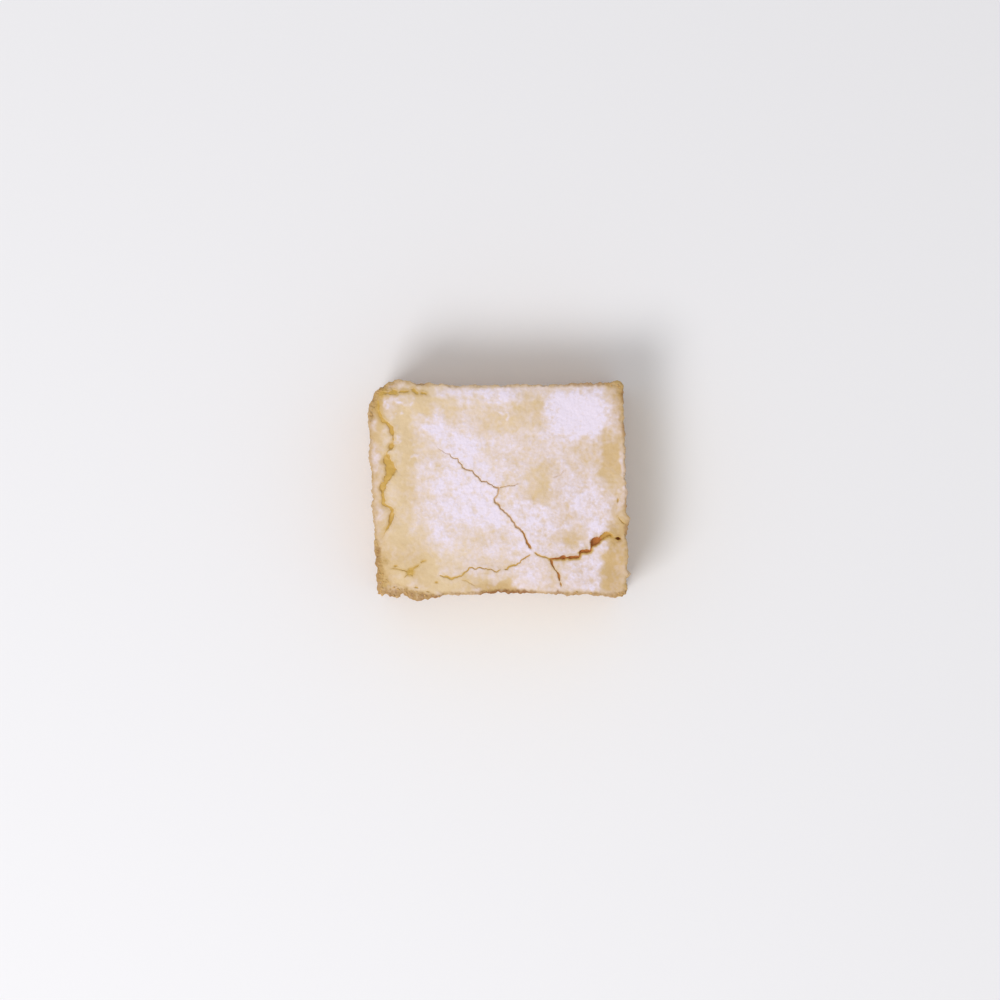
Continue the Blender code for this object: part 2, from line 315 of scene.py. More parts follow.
curdLook = {
    "curd": "#E9C766",  # egg-yolk and lemon gel
    "shade": "#DDB24F",
    "foam": "#F0DFB6",  # paler band of fine bubbles under the skin
    "soaked": "#BC8A44",  # where the curd has soaked into the shortbread
    "panSide": "#D3A961",
    "panDark": "#A8753C",
    "streakSize": 1.3,
    "streakStretch": 0.18,  # drawn out downwards
    "mottleSize": 4.0,
    "bubbleSize": 0.42,
    "cutRoughness": 0.33,
    "panRoughness": 0.66,
    "reliefDepth": 0.15,
    "lightDepth": 2.2,  # how far light gets into the gel
}


def lemonCurdMaterial():
    # Set lemon curd: a smooth gel, slightly see-through and moist where it was cut, dry, matt and
    # caramelised where it baked against the pan
    material, tree, shader = newMaterial("set_lemon_curd")
    paint = linearColours(curdLook)
    place = addNode(tree, "ShaderNodeTexCoord").outputs["Object"]
    cut, foam, dust, soaked, rim = [
        addNode(tree, "ShaderNodeAttribute", attribute_name=name).outputs["Fac"]
        for name in ("cut", "foam", "dust", "soaked", "rim")]
    mottle = addNode(tree, "ShaderNodeTexNoise", {
        "Vector": place, "Scale": patternScale(curdLook["mottleSize"]), "Detail": 5.0, "Roughness": 0.6})
    stretched = addNode(tree, "ShaderNodeMapping", {
        "Vector": place, "Scale": (1.0, 1.0, curdLook["streakStretch"])})
    streak = addNode(tree, "ShaderNodeTexNoise", {
        "Vector": stretched, "Scale": patternScale(curdLook["streakSize"]), "Detail": 3.0, "Roughness": 0.6})
    bubble = addNode(tree, "ShaderNodeTexVoronoi", {
        "Vector": place, "Scale": patternScale(curdLook["bubbleSize"])})
    tone = addNode(tree, "ShaderNodeMath", {0: streak.outputs["Fac"], 1: mottle.outputs["Fac"]},
                   operation="MULTIPLY")
    toneShare = addNode(tree, "ShaderNodeMapRange", {"Value": tone, "From Min": 0.12, "From Max": 0.38})
    cutColour = addNode(tree, "ShaderNodeMix", {0: toneShare, 6: paint["shade"], 7: paint["curd"]},
                        data_type="RGBA")
    foamy = addNode(tree, "ShaderNodeMix", {0: foam, 6: cutColour, 7: paint["foam"]}, data_type="RGBA")
    panTone = addNode(tree, "ShaderNodeMath", {0: mottle.outputs["Fac"], 1: -1.3, 2: 0.9},
                      operation="MULTIPLY_ADD")
    panShare = addNode(tree, "ShaderNodeMath", {0: panTone, 1: rim}, operation="ADD", use_clamp=True)
    panColour = addNode(tree, "ShaderNodeMix", {0: panShare, 6: paint["panSide"], 7: paint["panDark"]},
                        data_type="RGBA")
    sided = addNode(tree, "ShaderNodeMix", {0: cut, 6: panColour, 7: foamy}, data_type="RGBA")
    wet = addNode(tree, "ShaderNodeMix", {0: soaked, 6: sided, 7: paint["soaked"]}, data_type="RGBA")
    patchy = addNode(tree, "ShaderNodeMapRange", {
        "Value": bubble.outputs["Distance"], "From Min": 0.5, "From Max": 0.1})
    dustNoise = addNode(tree, "ShaderNodeMath", {0: dust, 1: patchy.outputs["Result"]}, operation="MULTIPLY")
    dusted = addNode(tree, "ShaderNodeMix", {0: dustNoise, 6: wet, 7: linearColour(skinLook["sugar"])},
                     data_type="RGBA")
    gloss = addNode(tree, "ShaderNodeMapRange", {
        "Value": cut, "To Min": curdLook["panRoughness"], "To Max": curdLook["cutRoughness"]})
    relief = addNode(tree, "ShaderNodeMath", {
        0: bubble.outputs["Distance"], 1: foam, 2: streak.outputs["Fac"]}, operation="MULTIPLY_ADD")
    bump = addNode(tree, "ShaderNodeBump", {
        "Height": relief, "Distance": curdLook["reliefDepth"] * mm, "Strength": 0.5})
    tree.links.new(dusted.outputs[2], shader.inputs["Base Color"])
    tree.links.new(gloss.outputs["Result"], shader.inputs["Roughness"])
    tree.links.new(bump.outputs["Normal"], shader.inputs["Normal"])
    shader.inputs["IOR"].default_value = 1.40
    shader.inputs["Subsurface Weight"].default_value = 0.35
    shader.inputs["Subsurface Radius"].default_value = (1.0, 0.55, 0.18)
    shader.inputs["Subsurface Scale"].default_value = curdLook["lightDepth"] * mm
    return material


shortbreadLook = {
    "crumb": "#E8CF9E",  # buttery, sandy inside
    "golden": "#D6AD6D",
    "toasted": "#B27C45",
    # painted shade deep between the crumbs
    "creviceShade": "#A8733A",
    "sandSize": 0.45,
    "patchSize": 4.5,
    "patchToast": 0.7,  # how far the patches lighten and darken it
    "reliefDepth": 0.22,
}


def shortbreadMaterial(name, darker=0.0):
    # Shortbread: flour and butter baked to a dry, sandy, matt crumb, browner where it met the pan, with
    # painted shade deep between the crumbs
    material, tree, shader = newMaterial(name)
    paint = linearColours(shortbreadLook)
    place = addNode(tree, "ShaderNodeTexCoord").outputs["Object"]
    toast, hollow = [
        addNode(tree, "ShaderNodeAttribute", attribute_name=share).outputs["Fac"]
        for share in ("toast", "hollow")]
    sand = addNode(tree, "ShaderNodeTexNoise", {
        "Vector": place, "Scale": patternScale(shortbreadLook["sandSize"]), "Detail": 3.0, "Roughness": 0.7})
    patch = addNode(tree, "ShaderNodeTexNoise", {
        "Vector": place, "Scale": patternScale(shortbreadLook["patchSize"]), "Detail": 3.0})
    goldenShare = addNode(tree, "ShaderNodeMapRange", {
        "Value": sand.outputs["Fac"], "From Min": 0.32, "From Max": 0.72, "To Min": darker})
    sandy = addNode(tree, "ShaderNodeMix", {0: goldenShare, 6: paint["crumb"], 7: paint["golden"]},
                    data_type="RGBA")
    patchToast = addNode(tree, "ShaderNodeMath", {
        0: patch.outputs["Fac"], 1: shortbreadLook["patchToast"], 2: -shortbreadLook["patchToast"] / 2},
        operation="MULTIPLY_ADD")
    toastHere = addNode(tree, "ShaderNodeMath", {0: toast, 1: patchToast}, operation="ADD", use_clamp=True)
    baked = addNode(tree, "ShaderNodeMix", {0: toastHere, 6: sandy, 7: paint["toasted"]}, data_type="RGBA")
    # Painted shade between the crumbs, as much as the hollow attribute says
    creviced = addNode(tree, "ShaderNodeMix", {0: hollow, 6: baked, 7: paint["creviceShade"]}, data_type="RGBA")
    bump = addNode(tree, "ShaderNodeBump", {
        "Height": sand.outputs["Fac"], "Distance": shortbreadLook["reliefDepth"] * mm, "Strength": 0.8})
    tree.links.new(creviced.outputs[2], shader.inputs["Base Color"])
    tree.links.new(bump.outputs["Normal"], shader.inputs["Normal"])
    shader.inputs["Roughness"].default_value = 0.88
    shader.inputs["IOR"].default_value = 1.45
    shader.inputs["Specular IOR Level"].default_value = 0.25
    return material


# Cracks in the skin. Each route is x, y, width and colour, from 0 golden to 1 red-brown; left and
# right are as seen along the route.

# The red-brown is curd colour with painted shade, as in the depths of the cracks
cracks = {
    "deep": {
        "depth": 1.35, "lift": (0.30, 0.0), "slope": (0.0, 0.25), "slopeWidth": 0.36, "steepness": 1.0,
        "halo": (0.2, 0.95), "haloWidth": 0.52, "jag": 0.35, "ragged": 0.5, "openStart": True,
        "route": (
            (13.05, -17.6, 0.50, 1), (15.4, -17.4, 0.55, 1), (16.3, -17.1, 1.00, 1), (17.3, -17.2, 0.45, 1),
            (18.0, -17.2, 0.80, 1), (20.4, -17.1, 0.75, 1), (20.6, -16.4, 0.45, 1), (20.6, -15.7, 0.80, 1),
            (23.4, -15.5, 0.85, 1), (23.6, -14.6, 0.40, 1), (23.9, -13.7, 1.20, 1), (24.5, -13.1, 1.80, 1),
            (25.4, -12.7, 1.50, 1), (26.0, -12.3, 1.10, 1), (26.3, -12.0, 1.20, 0.15),
            (27.2, -11.3, 1.30, 0.05), (28.3, -11.2, 0.80, 0.05), (29.7, -12.2, 0.30, 0)),
    },
    "hole": {
        "depth": 1.8, "lift": (0.05, 0.05), "jag": 0, "ragged": 0.35, "steepness": 2.2,
        "halo": (0.8, 0.8), "haloWidth": 0.3,
        "route": (
            (29.9, -12.3, 0.40, 1), (30.3, -12.35, 1.10, 1), (30.6, -12.35, 1.00, 1),
            (31.0, -12.35, 0.45, 1)),
    },
    "main": {
        "depth": 0.34, "lift": (0.12, 0.05), "steepness": 0.55, "halo": (0.3, 0.3), "tint": 0.8, "jag": 1.3,
        "openEnd": True,
        "route": (
            (-16.1, 11.4, 0.08, 0), (-13.9, 9.7, 0.12, 0), (-12.2, 8.5, 0.26, 0), (-10.8, 8.2, 0.26, 0),
            (-10.2, 6.6, 0.30, 0), (-9.1, 5.6, 0.48, 0.1), (-6.7, 4.8, 0.36, 0.1), (-5.2, 2.9, 0.52, 0.1),
            (-2.2, 1.4, 0.40, 0.1), (-0.3, 0.7, 0.58, 0.2), (-0.5, -0.8, 0.40, 0.2), (-1.5, -2.6, 0.68, 0.2),
            (0.8, -5.0, 0.50, 0.2), (2.6, -6.8, 0.58, 0.2), (4.4, -9.0, 0.54, 0.3), (5.9, -10.6, 0.60, 0.5)),
    },
    "mainEnd": {
        "depth": 0.16, "lift": (0.06, 0.03), "openEnd": True, "halo": (0.4, 0.4),
        "route": (
            (9.0, -15.7, 0.50, 0.3), (10.6, -16.7, 0.60, 0.1), (10.9, -16.8, 0.50, 0),
            (13.0, -17.6, 0.50, 0)),
    },
    "front": {
        "depth": 0.46, "lift": (0.05, 0.05), "jag": 0.7, "halo": (0.35, 0.35), "openStart": True,
        "route": (
            (13.2, -17.7, 0.66, 0.9), (13.3, -18.5, 0.74, 0.9), (13.5, -19.3, 0.60, 0.8),
            (14.2, -20.3, 0.24, 0.2), (14.8, -20.9, 0.36, 0.3), (15.0, -21.3, 0.72, 0.8),
            (15.2, -22.0, 0.80, 0.8), (15.4, -23.0, 0.56, 0.6), (15.5, -23.3, 0, 0.5),
            (15.7, -23.6, 0, 0.5), (15.8, -23.8, 0.50, 0.5), (15.9, -24.8, 0.46, 0.4)),
    },
    "long": {
        "depth": 0.14, "lift": (0.04, 0.10), "jag": 1.4,
        "route": (
            (7.9, -16.3, 0.50, 0.5), (7.4, -16.9, 0.40, 0.3), (6.0, -18.2, 0.40, 0.2), (3.9, -19.4, 0.50, 0),
            (2.3, -20.0, 0.60, 0), (1.6, -20.2, 0.50, 0), (1.2, -20.2, 0, 0), (0.3, -20.3, 0, 0),
            (-0.2, -20.3, 0.35, 0), (-2.6, -20.5, 0.28, 0), (-4.4, -20.1, 0.28, 0), (-6.9, -19.9, 0.40, 0),
            (-7.8, -20.5, 0.45, 0), (-8.9, -20.7, 0.40, 0), (-10.1, -21.5, 0.45, 0), (-11.0, -21.8, 0.40, 0),
            (-12.3, -22.3, 0.70, 0), (-13.5, -22.1, 0.70, 0), (-14.6, -22.4, 0.40, 0),
            (-15.5, -21.7, 0.16, 0)),
    },
    "cornerStar": {
        "depth": 0.16, "lift": (0.04, 0.04), "jag": 0.6, "halo": (0.5, 0.5), "haloWidth": 0.4,
        "route": (
            (-28.2, -20.0, 0.08, 0), (-26.4, -20.2, 0.12, 0), (-24.6, -20.6, 0.14, 0),
            (-23.6, -21.0, 0.40, 0), (-22.9, -21.15, 1.80, 0), (-22.1, -20.0, 0.50, 0),
            (-21.0, -19.3, 0.45, 0), (-20.7, -19.0, 0, 0), (-20.3, -18.6, 0, 0), (-20.0, -18.4, 0.40, 0),
            (-18.7, -18.0, 0.30, 0)),
    },
    "starArm": {
        "depth": 0.15, "lift": (0.03, 0.03), "openStart": True,
        "route": ((-22.9, -21.3, 0.70, 0), (-23.6, -21.9, 0.20, 0), (-24.6, -22.5, 0.10, 0)),
    },
    "starFoot": {
        "depth": 0.15, "lift": (0.03, 0.03), "openStart": True,
        "route": ((-22.9, -21.3, 0.80, 0), (-22.3, -22.1, 0.15, 0)),
    },
    "tornEdge": {
        "depth": 0.72, "lift": (0.24, 0.0), "slope": (0.0, 0.32), "slopeWidth": 1.2, "steepness": 0.5,
        "halo": (0.35, 0.5), "haloWidth": 0.6, "jag": 0.7, "ragged": 0.8,
        "route": (
            (-31.5, 24.0, 0.40, 0), (-31.3, 22.5, 0.60, 0), (-31.2, 20.5, 0.60, 0), (-30.6, 19.2, 0.90, 0),
            (-30.0, 17.9, 1.00, 0), (-29.0, 17.4, 1.00, 0), (-27.8, 16.2, 1.00, 0), (-27.5, 14.6, 1.10, 0),
            (-27.3, 13.1, 0.50, 0),
            (-27.4, 12.5, 0, 0), (-27.85, 11.4, 1.50, 0), (-28.4, 10.5, 0.35, 0), (-28.9, 9.7, 0.40, 0),
            (-29.0, 7.9, 1.80, 0), (-28.0, 6.2, 2.10, 0), (-28.2, 4.1, 1.50, 0), (-29.9, 1.5, 1.80, 0),
            (-30.1, 0.0, 1.20, 0), (-29.9, -2.0, 0.80, 0), (-30.0, -3.3, 0.90, 0), (-28.5, -4.2, 0.60, 0),
            (-27.4, -5.2, 0.90, 0), (-27.9, -7.2, 1.60, 0), (-28.2, -8.7, 1.00, 0), (-29.2, -10.4, 0.40, 0),
            (-30.2, -12.1, 0.22, 0), (-30.6, -13.2, 0.12, 0)),
    },
    "tornTip": {
        "depth": 0.5, "lift": (0.05, 0.05), "jag": 0.3, "openStart": True,
        "route": ((-27.7, 5.8, 1.00, 0), (-26.3, 5.3, 0.30, 0)),
    },
    "cornerTear": {
        "depth": 0.14, "lift": (0.04, 0.08), "jag": 0.9, "ragged": 1.1, "steepness": 0.3,
        "halo": (0.6, 0.6), "haloWidth": 0.6,
        "route": (
            (-31.0, 24.6, 0.60, 0), (-29.8, 25.0, 1.20, 0), (-28.2, 25.1, 1.40, 0), (-26.6, 25.2, 0.90, 0),
            (-26.3, 25.2, 0, 0), (-25.9, 25.3, 0, 0), (-25.5, 25.4, 0.60, 0), (-23.6, 25.5, 0.50, 0),
            (-23.2, 25.7, 0, 0), (-22.7, 26.0, 0, 0), (-22.3, 26.0, 0.60, 0), (-21.2, 24.9, 0.80, 0),
            (-20.9, 24.8, 0, 0), (-20.4, 25.0, 0, 0), (-20.0, 25.1, 0.70, 0), (-18.6, 24.8, 0.80, 0)),
    },
    "twig": {
        "depth": 0.14, "lift": (0.04, 0.04), "openStart": True, "tint": 0.6,
        "route": ((-0.3, 0.7, 0.34, 0.2), (1.4, 1.0, 0.24, 0.1), (3.9, 1.3, 0.20, 0), (5.2, 1.8, 0.12, 0)),
    },
    "frontHair": {
        "depth": 0.08, "lift": (0.03, 0.03), "tint": 0.5,
        "route": (
            (-9.9, -22.9, 0.16, 0), (-8.2, -23.4, 0.24, 0), (-7.2, -24.2, 0.20, 0), (-5.5, -25.3, 0.16, 0)),
    },
    "rightHair": {
        "depth": 0.03, "lift": (0.02, 0.02), "tint": 0.25,
        "route": ((13.5, 3.4, 0.10, 0), (15.4, 4.0, 0.14, 0), (17.1, 5.3, 0.10, 0)),
    },
    "flake": {
        "depth": 0.16, "lift": (0.08, 0.02), "tint": 0.7,
        "route": ((30.6, -6.7, 0.28, 0), (31.5, -8.3, 0.40, 0.1), (32.3, -8.5, 0.26, 0.1)),
    },
    "flakeGroove": {
        "depth": 0.22, "lift": (0.04, 0.02), "jag": 0.5,
        "route": ((30.5, -1.8, 0.30, 0), (30.5, -2.5, 0.50, 0), (30.4, -3.2, 0.30, 0)),
    },
    "leftPit": {
        "depth": 0.26, "lift": (0.02, 0.02), "jag": 0,
        "route": ((-27.3, -19.5, 0.40, 0), (-26.7, -19.4, 0.65, 0), (-26.1, -19.3, 0.40, 0)),
    },
    "frontPit": {
        "depth": 0.26, "lift": (0.02, 0.02), "jag": 0,
        "route": ((-16.7, -23.7, 0.40, 0.1), (-16.2, -23.6, 0.60, 0.1), (-15.7, -23.6, 0.40, 0.1)),
    },
    "frontNick": {
        "depth": 0.16, "lift": (0.02, 0.02), "jag": 0.4,
        "route": ((-22.0, -24.9, 0.18, 0), (-21.4, -24.9, 0.42, 0), (-20.7, -25.1, 0.18, 0)),
    },
    "edgeNick": {
        "depth": 0.16, "lift": (0.02, 0.02), "jag": 0.4,
        "route": ((-19.0, -25.9, 0.15, 0), (-18.4, -26.0, 0.38, 0), (-17.8, -26.1, 0.15, 0)),
    },
    "mainFoot": {
        "depth": 0.42, "lift": (0.12, 0.05), "steepness": 0.6, "halo": (0.3, 0.3), "jag": 0.8,
        "openStart": True,
        "route": (
            (5.9, -10.6, 0.60, 0.4), (6.3, -11.2, 0.66, 0.5), (7.1, -13.4, 0.72, 0.7),
            (8.3, -15.1, 0.55, 0.6)),
    },
}

crackStyle = {
    "stationStep": 0.34,
    "jags": ((3.0, 0.20), (1.5, 0.36), (0.7, 0.24)),
    "jagFade": 1.2,
    "ragged": 0.5,
    "steepness": 0.9,  # how deep a crack may be for its width
    "endFade": 1.6,  # over this length an end gets shallow
    "pastOpenEnd": 9.0,  # an open end runs on into another crack, so it doesn't fade
    "halo": (0.25, 0.25),  # curd-coloured edging left and right
    "haloWidth": 0.3,
    "tipWidth": 0.12,
    "wallWidth": 0.13,  # how far the wall of a groove leans in
    "wallShare": 0.45,  # and its most, as a share of the half width
    "liftWidth": 1.1,
    "reach": 3.6,
}


def wallOf(half):
    return np.minimum(crackStyle["wallWidth"], half * crackStyle["wallShare"])


def crackStations(crack, seed):
    # Centre points along the route, the half widths left and right, the colour and the depth
    route = np.array(crack["route"])
    lengths = np.linalg.norm(np.diff(route[:, :2], axis=0), axis=1)
    travelled = np.concatenate(([0.0], np.cumsum(lengths)))
    count = max(4, int(travelled[-1] / crackStyle["stationStep"]))
    stops = np.linspace(0.0, travelled[-1], count)
    x, y, width, hue = [np.interp(stops, travelled, route[:, column]) for column in range(4)]
    centre = np.column_stack((x, y))
    sideways = sidewaysOf(centre)
    here = np.column_stack((stops, np.zeros(count)))
    fromStart = stops + crackStyle["pastOpenEnd"] * crack.get("openStart", False)
    fromEnd = travelled[-1] - stops + crackStyle["pastOpenEnd"] * crack.get("openEnd", False)
    endFade = min(crackStyle["endFade"], 0.3 * travelled[-1])
    fade = np.minimum(1.0, np.minimum(fromStart, fromEnd) / endFade + 0.12)
    jag = ripple(here, crackStyle["jags"], lift=seed) * np.minimum(
        1.0, np.minimum(stops, travelled[-1] - stops) / crackStyle["jagFade"])
    centre += sideways * crack.get("jag", 1.0) * jag[:, None]
    halves = []
    for side in (0.37, 0.71):
        wave = noiseAt(here, 0.8, seed + side) + 0.7 * noiseAt(here, 2.1, seed - side)
        spread = width / 2 * (1 + crack.get("ragged", crackStyle["ragged"]) * wave)
        halves.append(np.maximum(crackStyle["tipWidth"] / 2, spread))
    depth = fade * np.minimum(crack["depth"], crack.get("steepness", crackStyle["steepness"]) * width)
    return {"centre": centre, "halves": np.column_stack(halves), "hue": hue, "depth": depth}


def sidewaysOf(line):
    along = np.gradient(line, axis=0)
    along /= np.linalg.norm(along, axis=1)[:, None]
    return np.column_stack((-along[:, 1], along[:, 0]))


crackPaths = [
    (crack, crackStations(crack, 5.0 + 3.1 * number)) for number, crack in enumerate(cracks.values())]


def crackField(points):
    # What the cracks do at each plan point
    count = len(points)
    field = {
        "depth": np.zeros(count), "hue": np.zeros(count), "lift": np.zeros(count), "gold": np.zeros(count),
        "open": np.zeros(count), "tint": np.zeros(count), "nearest": np.full(count, 99.0),
        "half": np.ones(count), "wall": np.ones(count),
    }
    for crack, path in crackPaths:
        for index in range(len(path["centre"]) - 1):
            addLeg(field, points, crack, path, index)
    return field


def addLeg(field, points, crack, path, index):
    # One short straight stretch of a crack
    start, end = path["centre"][index], path["centre"][index + 1]
    low = np.minimum(start, end) - crackStyle["reach"]
    high = np.maximum(start, end) + crackStyle["reach"]
    close = np.flatnonzero(np.all((points > low) & (points < high), axis=1))
    if not len(close):
        return
    along = end - start
    offset = points[close] - start
    t = np.clip(offset @ along / (along @ along), 0.0, 1.0)
    distance = np.linalg.norm(offset - t[:, None] * along, axis=1)
    side = np.where(along[0] * offset[:, 1] - along[1] * offset[:, 0] > 0, 0, 1)
    half = path["halves"][index][side] * (1 - t) + path["halves"][index + 1][side] * t
    full = path["depth"][index] * (1 - t) + path["depth"][index + 1] * t
    wall = wallOf(half)
    outside = np.maximum(0.0, distance - half)
    share = np.clip((half - distance) / wall, 0.0, 1.0)
    shown = np.minimum(1.0, full / (0.4 * crack["depth"]))
    slope = np.array(crack.get("slope", (0.0, 0.0)))[side]
    fall = np.exp(-outside / crack.get("slopeWidth", 1.0)) * shown
    depth = slope * fall + np.maximum(0.0, full - slope) * share
    halo = shown * np.array(crack.get("halo", crackStyle["halo"]))[side]
    halo *= 1 - smoothStep(0.3, 1.4, outside / crack.get("haloWidth", crackStyle["haloWidth"]))
    field["depth"][close] = np.maximum(field["depth"][close], depth)
    field["open"][close] = np.maximum(field["open"][close], share * shown)
    tint = smoothStep(0.25, 0.8, share * shown) * crack.get("tint", 1.0)
    field["tint"][close] = np.maximum(field["tint"][close], tint)
    field["gold"][close] = np.maximum(field["gold"][close], halo)
    nearer = distance - half < field["nearest"][close]
    these = close[nearer]
    field["nearest"][these] = (distance - half)[nearer]
    field["half"][these] = half[nearer]
    field["wall"][these] = wall[nearer]
    field["hue"][these] = (path["hue"][index] * (1 - t) + path["hue"][index + 1] * t)[nearer]
    lift = np.array(crack["lift"])[side] * np.exp(-outside / crackStyle["liftWidth"])
    field["lift"][these] = (lift * shown)[nearer]


# Icing sugar: where it lies thick and where the skin is bare

sugarPlaces = {  # x, y, half length, half width, tilt in degrees, strength
    "thick": (
        (20.0, 19.8, 7.8, 6.0, 0, 0.70), (-13.0, 13.6, 8.0, 3.6, -42, 0.34),
        (-9.5, -1.9, 11.0, 9.5, 0, 0.36), (-1.3, -7.0, 2.2, 2.0, 0, 0.45),
        (10.8, -7.3, 8.9, 4.2, -15, 0.29), (23.2, -3.4, 6.2, 3.2, 0, 0.34),
        (7.8, -22.2, 5.4, 2.8, 0, 0.25), (20.4, -20.6, 5.0, 2.4, 8, 0.30),
        (24.2, -16.6, 2.4, 2.0, 30, 0.34), (27.0, -14.2, 1.8, 1.6, 0, 0.50),
        (24.8, -9.7, 2.3, 1.9, 0, 0.46), (26.7, -22.3, 0.9, 0.9, 0, 0.30), (0.9, 8.7, 0.8, 0.7, 0, 0.40),
        (4.1, 6.0, 1.1, 1.0, 0, 0.30), (1.2, 19.3, 0.7, 0.6, 0, 0.40), (2.4, 24.0, 2.3, 1.7, 0, 0.36),
        (-4.0, 24.7, 11.5, 1.5, 0, 0.24), (-32.0, 8.5, 1.0, 4.0, 0, 0.24), (-31.4, -5.8, 0.9, 2.6, 0, 0.26),
        (32.1, 6.0, 0.8, 4.0, 0, 0.40), (31.9, -1.0, 0.9, 2.8, 0, 0.40), (-14.1, -12.2, 3.4, 2.6, 0, 0.26),
        (0.2, -15.6, 4.2, 1.6, 0, 0.28), (-24.8, 22.8, 3.6, 1.4, -8, 0.16), (-18.0, 12.0, 8.0, 6.0, 0, 0.04),
        (6.8, -16.2, 3.0, 2.4, 0, 0.14), (4.0, -8.6, 3.6, 3.6, 0, 0.12), (-5.0, 1.0, 3.2, 3.2, 0, 0.11),
        (-18.4, 18.0, 2.2, 2.0, 0, 0.16), (-5.6, 18.0, 2.0, 1.8, 0, 0.10), (30.2, 16.0, 1.8, 4.0, 0, 0.14),
        (22.2, -13.8, 1.8, 1.2, 0, 0.12), (12.0, -18.2, 2.6, 2.0, 0, 0.12), (-26.2, -1.0, 1.8, 2.6, 0, 0.12),
        (20.4, 2.6, 5.4, 4.0, 0, 0.16), (13.6, 11.0, 7.0, 3.0, -20, 0.08), (-26.3, 23.0, 0.7, 0.6, 0, 0.4),
        (-23.1, 22.8, 0.6, 0.6, 0, 0.4), (-25.6, 19.2, 0.6, 0.5, 0, 0.4), (-29.0, 21.3, 0.6, 0.6, 0, 0.4),
        (-26.0, 13.9, 0.5, 0.5, 0, 0.4), (-22.4, 8.5, 0.7, 0.5, 0, 0.4), (12.8, 0.1, 0.7, 0.6, 0, 0.4),
        (11.0, -4.4, 0.7, 0.6, 0, 0.4), (24.0, -24.7, 0.7, 0.6, 0, 0.4), (-31.9, -14.1, 0.8, 0.7, 0, 0.6),
        (-31.0, -24.5, 1.1, 0.9, 0, 0.6), (-3.0, 13.6, 7.0, 2.8, 0, 0.20), (-9.0, 10.0, 3.0, 3.0, 0, 0.14),
        (8.6, -13.6, 4.6, 2.4, 0, 0.24), (-8.0, -2.0, 4.0, 3.0, 0, 0.14), (8.0, 4.0, 3.0, 4.0, 0, 0.10),
        (22.2, -10.4, 2.0, 1.4, 0, 0.14), (-6.0, 25.4, 6.0, 1.6, 0, 0.12), (10.6, -10.0, 2.5, 1.8, 0, 0.10),
        (8.0, 26.0, 3.4, 1.8, 0, 0.14), (14.2, -14.2, 2.2, 1.6, 0, 0.18), (6.4, -14.4, 1.8, 1.6, 0, 0.14),
        (22.2, -23.2, 2.2, 1.6, 0, 0.18), (-10.0, 21.6, 2.4, 1.6, 0, 0.12), (9.6, -26.4, 3.0, 1.2, 0, 0.16)),
    "bare": (
        (-25.4, 4.0, 3.2, 15.0, 0, 0.40), (-23.7, -14.6, 6.4, 5.4, 0, 0.36),
        (-27.1, -22.0, 4.2, 3.4, 0, 0.34),
        (-18.8, -20.5, 3.6, 3.2, 0, 0.42), (-16.3, 22.2, 6.0, 2.4, 0, 0.30), (-8.9, 22.7, 3.2, 1.8, 0, 0.10),
        (0.4, 17.3, 6.6, 3.0, 0, 0.32), (7.4, 22.6, 4.2, 3.0, 0, 0.32), (10.0, 1.6, 3.3, 5.2, 0, 0.38),
        (28.5, 8.0, 2.8, 7.0, 0, 0.38), (21.8, 8.2, 3.8, 4.0, 0, 0.14), (29.9, -18.4, 3.2, 9.6, 0, 0.34),
        (17.2, -11.9, 4.8, 1.9, 12, 0.28), (0.9, -24.9, 5.0, 1.3, 0, 0.40), (-7.9, -10.8, 5.6, 3.0, 0, 0.20),
        (-8.6, -24.2, 8.4, 2.3, 0, 0.34), (-25.4, 19.0, 3.0, 3.0, 0, 0.18), (-21.5, 25.5, 5.5, 2.6, 0, 0.26),
        (29.4, 26.0, 3.0, 2.6, 0, 0.30), (-22.0, 20.5, 3.6, 2.6, 0, 0.20), (-31.0, 20.5, 1.8, 7.0, 0, 0.32),
        (31.4, 18.0, 1.8, 8.5, 0, 0.26), (10.2, 18.2, 2.0, 2.0, 0, 0.34), (-22.4, 12.0, 2.8, 5.5, 0, 0.25),
        (-13.5, 19.5, 3.0, 1.8, 0, 0.14), (-20.0, 0.5, 3.0, 3.6, 0, 0.16), (31.6, -2.0, 1.4, 9.0, 0, 0.18),
        (16.6, -6.4, 3.6, 2.0, 0, 0.26), (-12.8, -18.4, 5.6, 2.4, 0, 0.18), (0.0, -18.0, 4.0, 1.6, 0, 0.14),
        (27.0, -19.9, 2.4, 5.6, 0, 0.36), (-20.0, -24.6, 7.0, 2.6, 0, 0.20), (12.9, -21.6, 2.8, 3.4, 0, 0.22),
        (30.2, -10.4, 1.6, 2.2, 0, 0.20), (4.0, -23.0, 3.0, 1.5, 0, 0.15), (-30.6, 1.0, 2.0, 18.0, 0, 0.28),
        (30.2, -4.0, 1.8, 4.6, 0, 0.12), (27.6, 15.0, 1.8, 7.0, 0, 0.12), (26.6, 3.0, 2.0, 3.0, 0, 0.14),
        (17.4, -20.0, 2.2, 2.4, 0, 0.14), (-18.0, -26.2, 4.0, 1.2, 0, 0.20), (3.6, 22.0, 3.0, 2.0, 0, 0.12),
        (-18.0, 10.0, 2.0, 2.4, 0, 0.18), (22.0, -17.8, 2.0, 1.4, 0, 0.12), (-18.4, -4.6, 2.4, 3.4, 0, 0.16),
        (18.0, -12.6, 2.2, 2.6, 0, 0.14), (-1.8, 22.0, 1.8, 1.6, 0, 0.16), (-18.0, 14.4, 1.8, 1.6, 0, 0.14),
        (10.4, 21.6, 1.6, 1.6, 0, 0.12), (-18.0, 26.0, 2.0, 1.2, 0, 0.14), (-30.2, -22.0, 2.0, 5.0, 0, 0.30)),
}

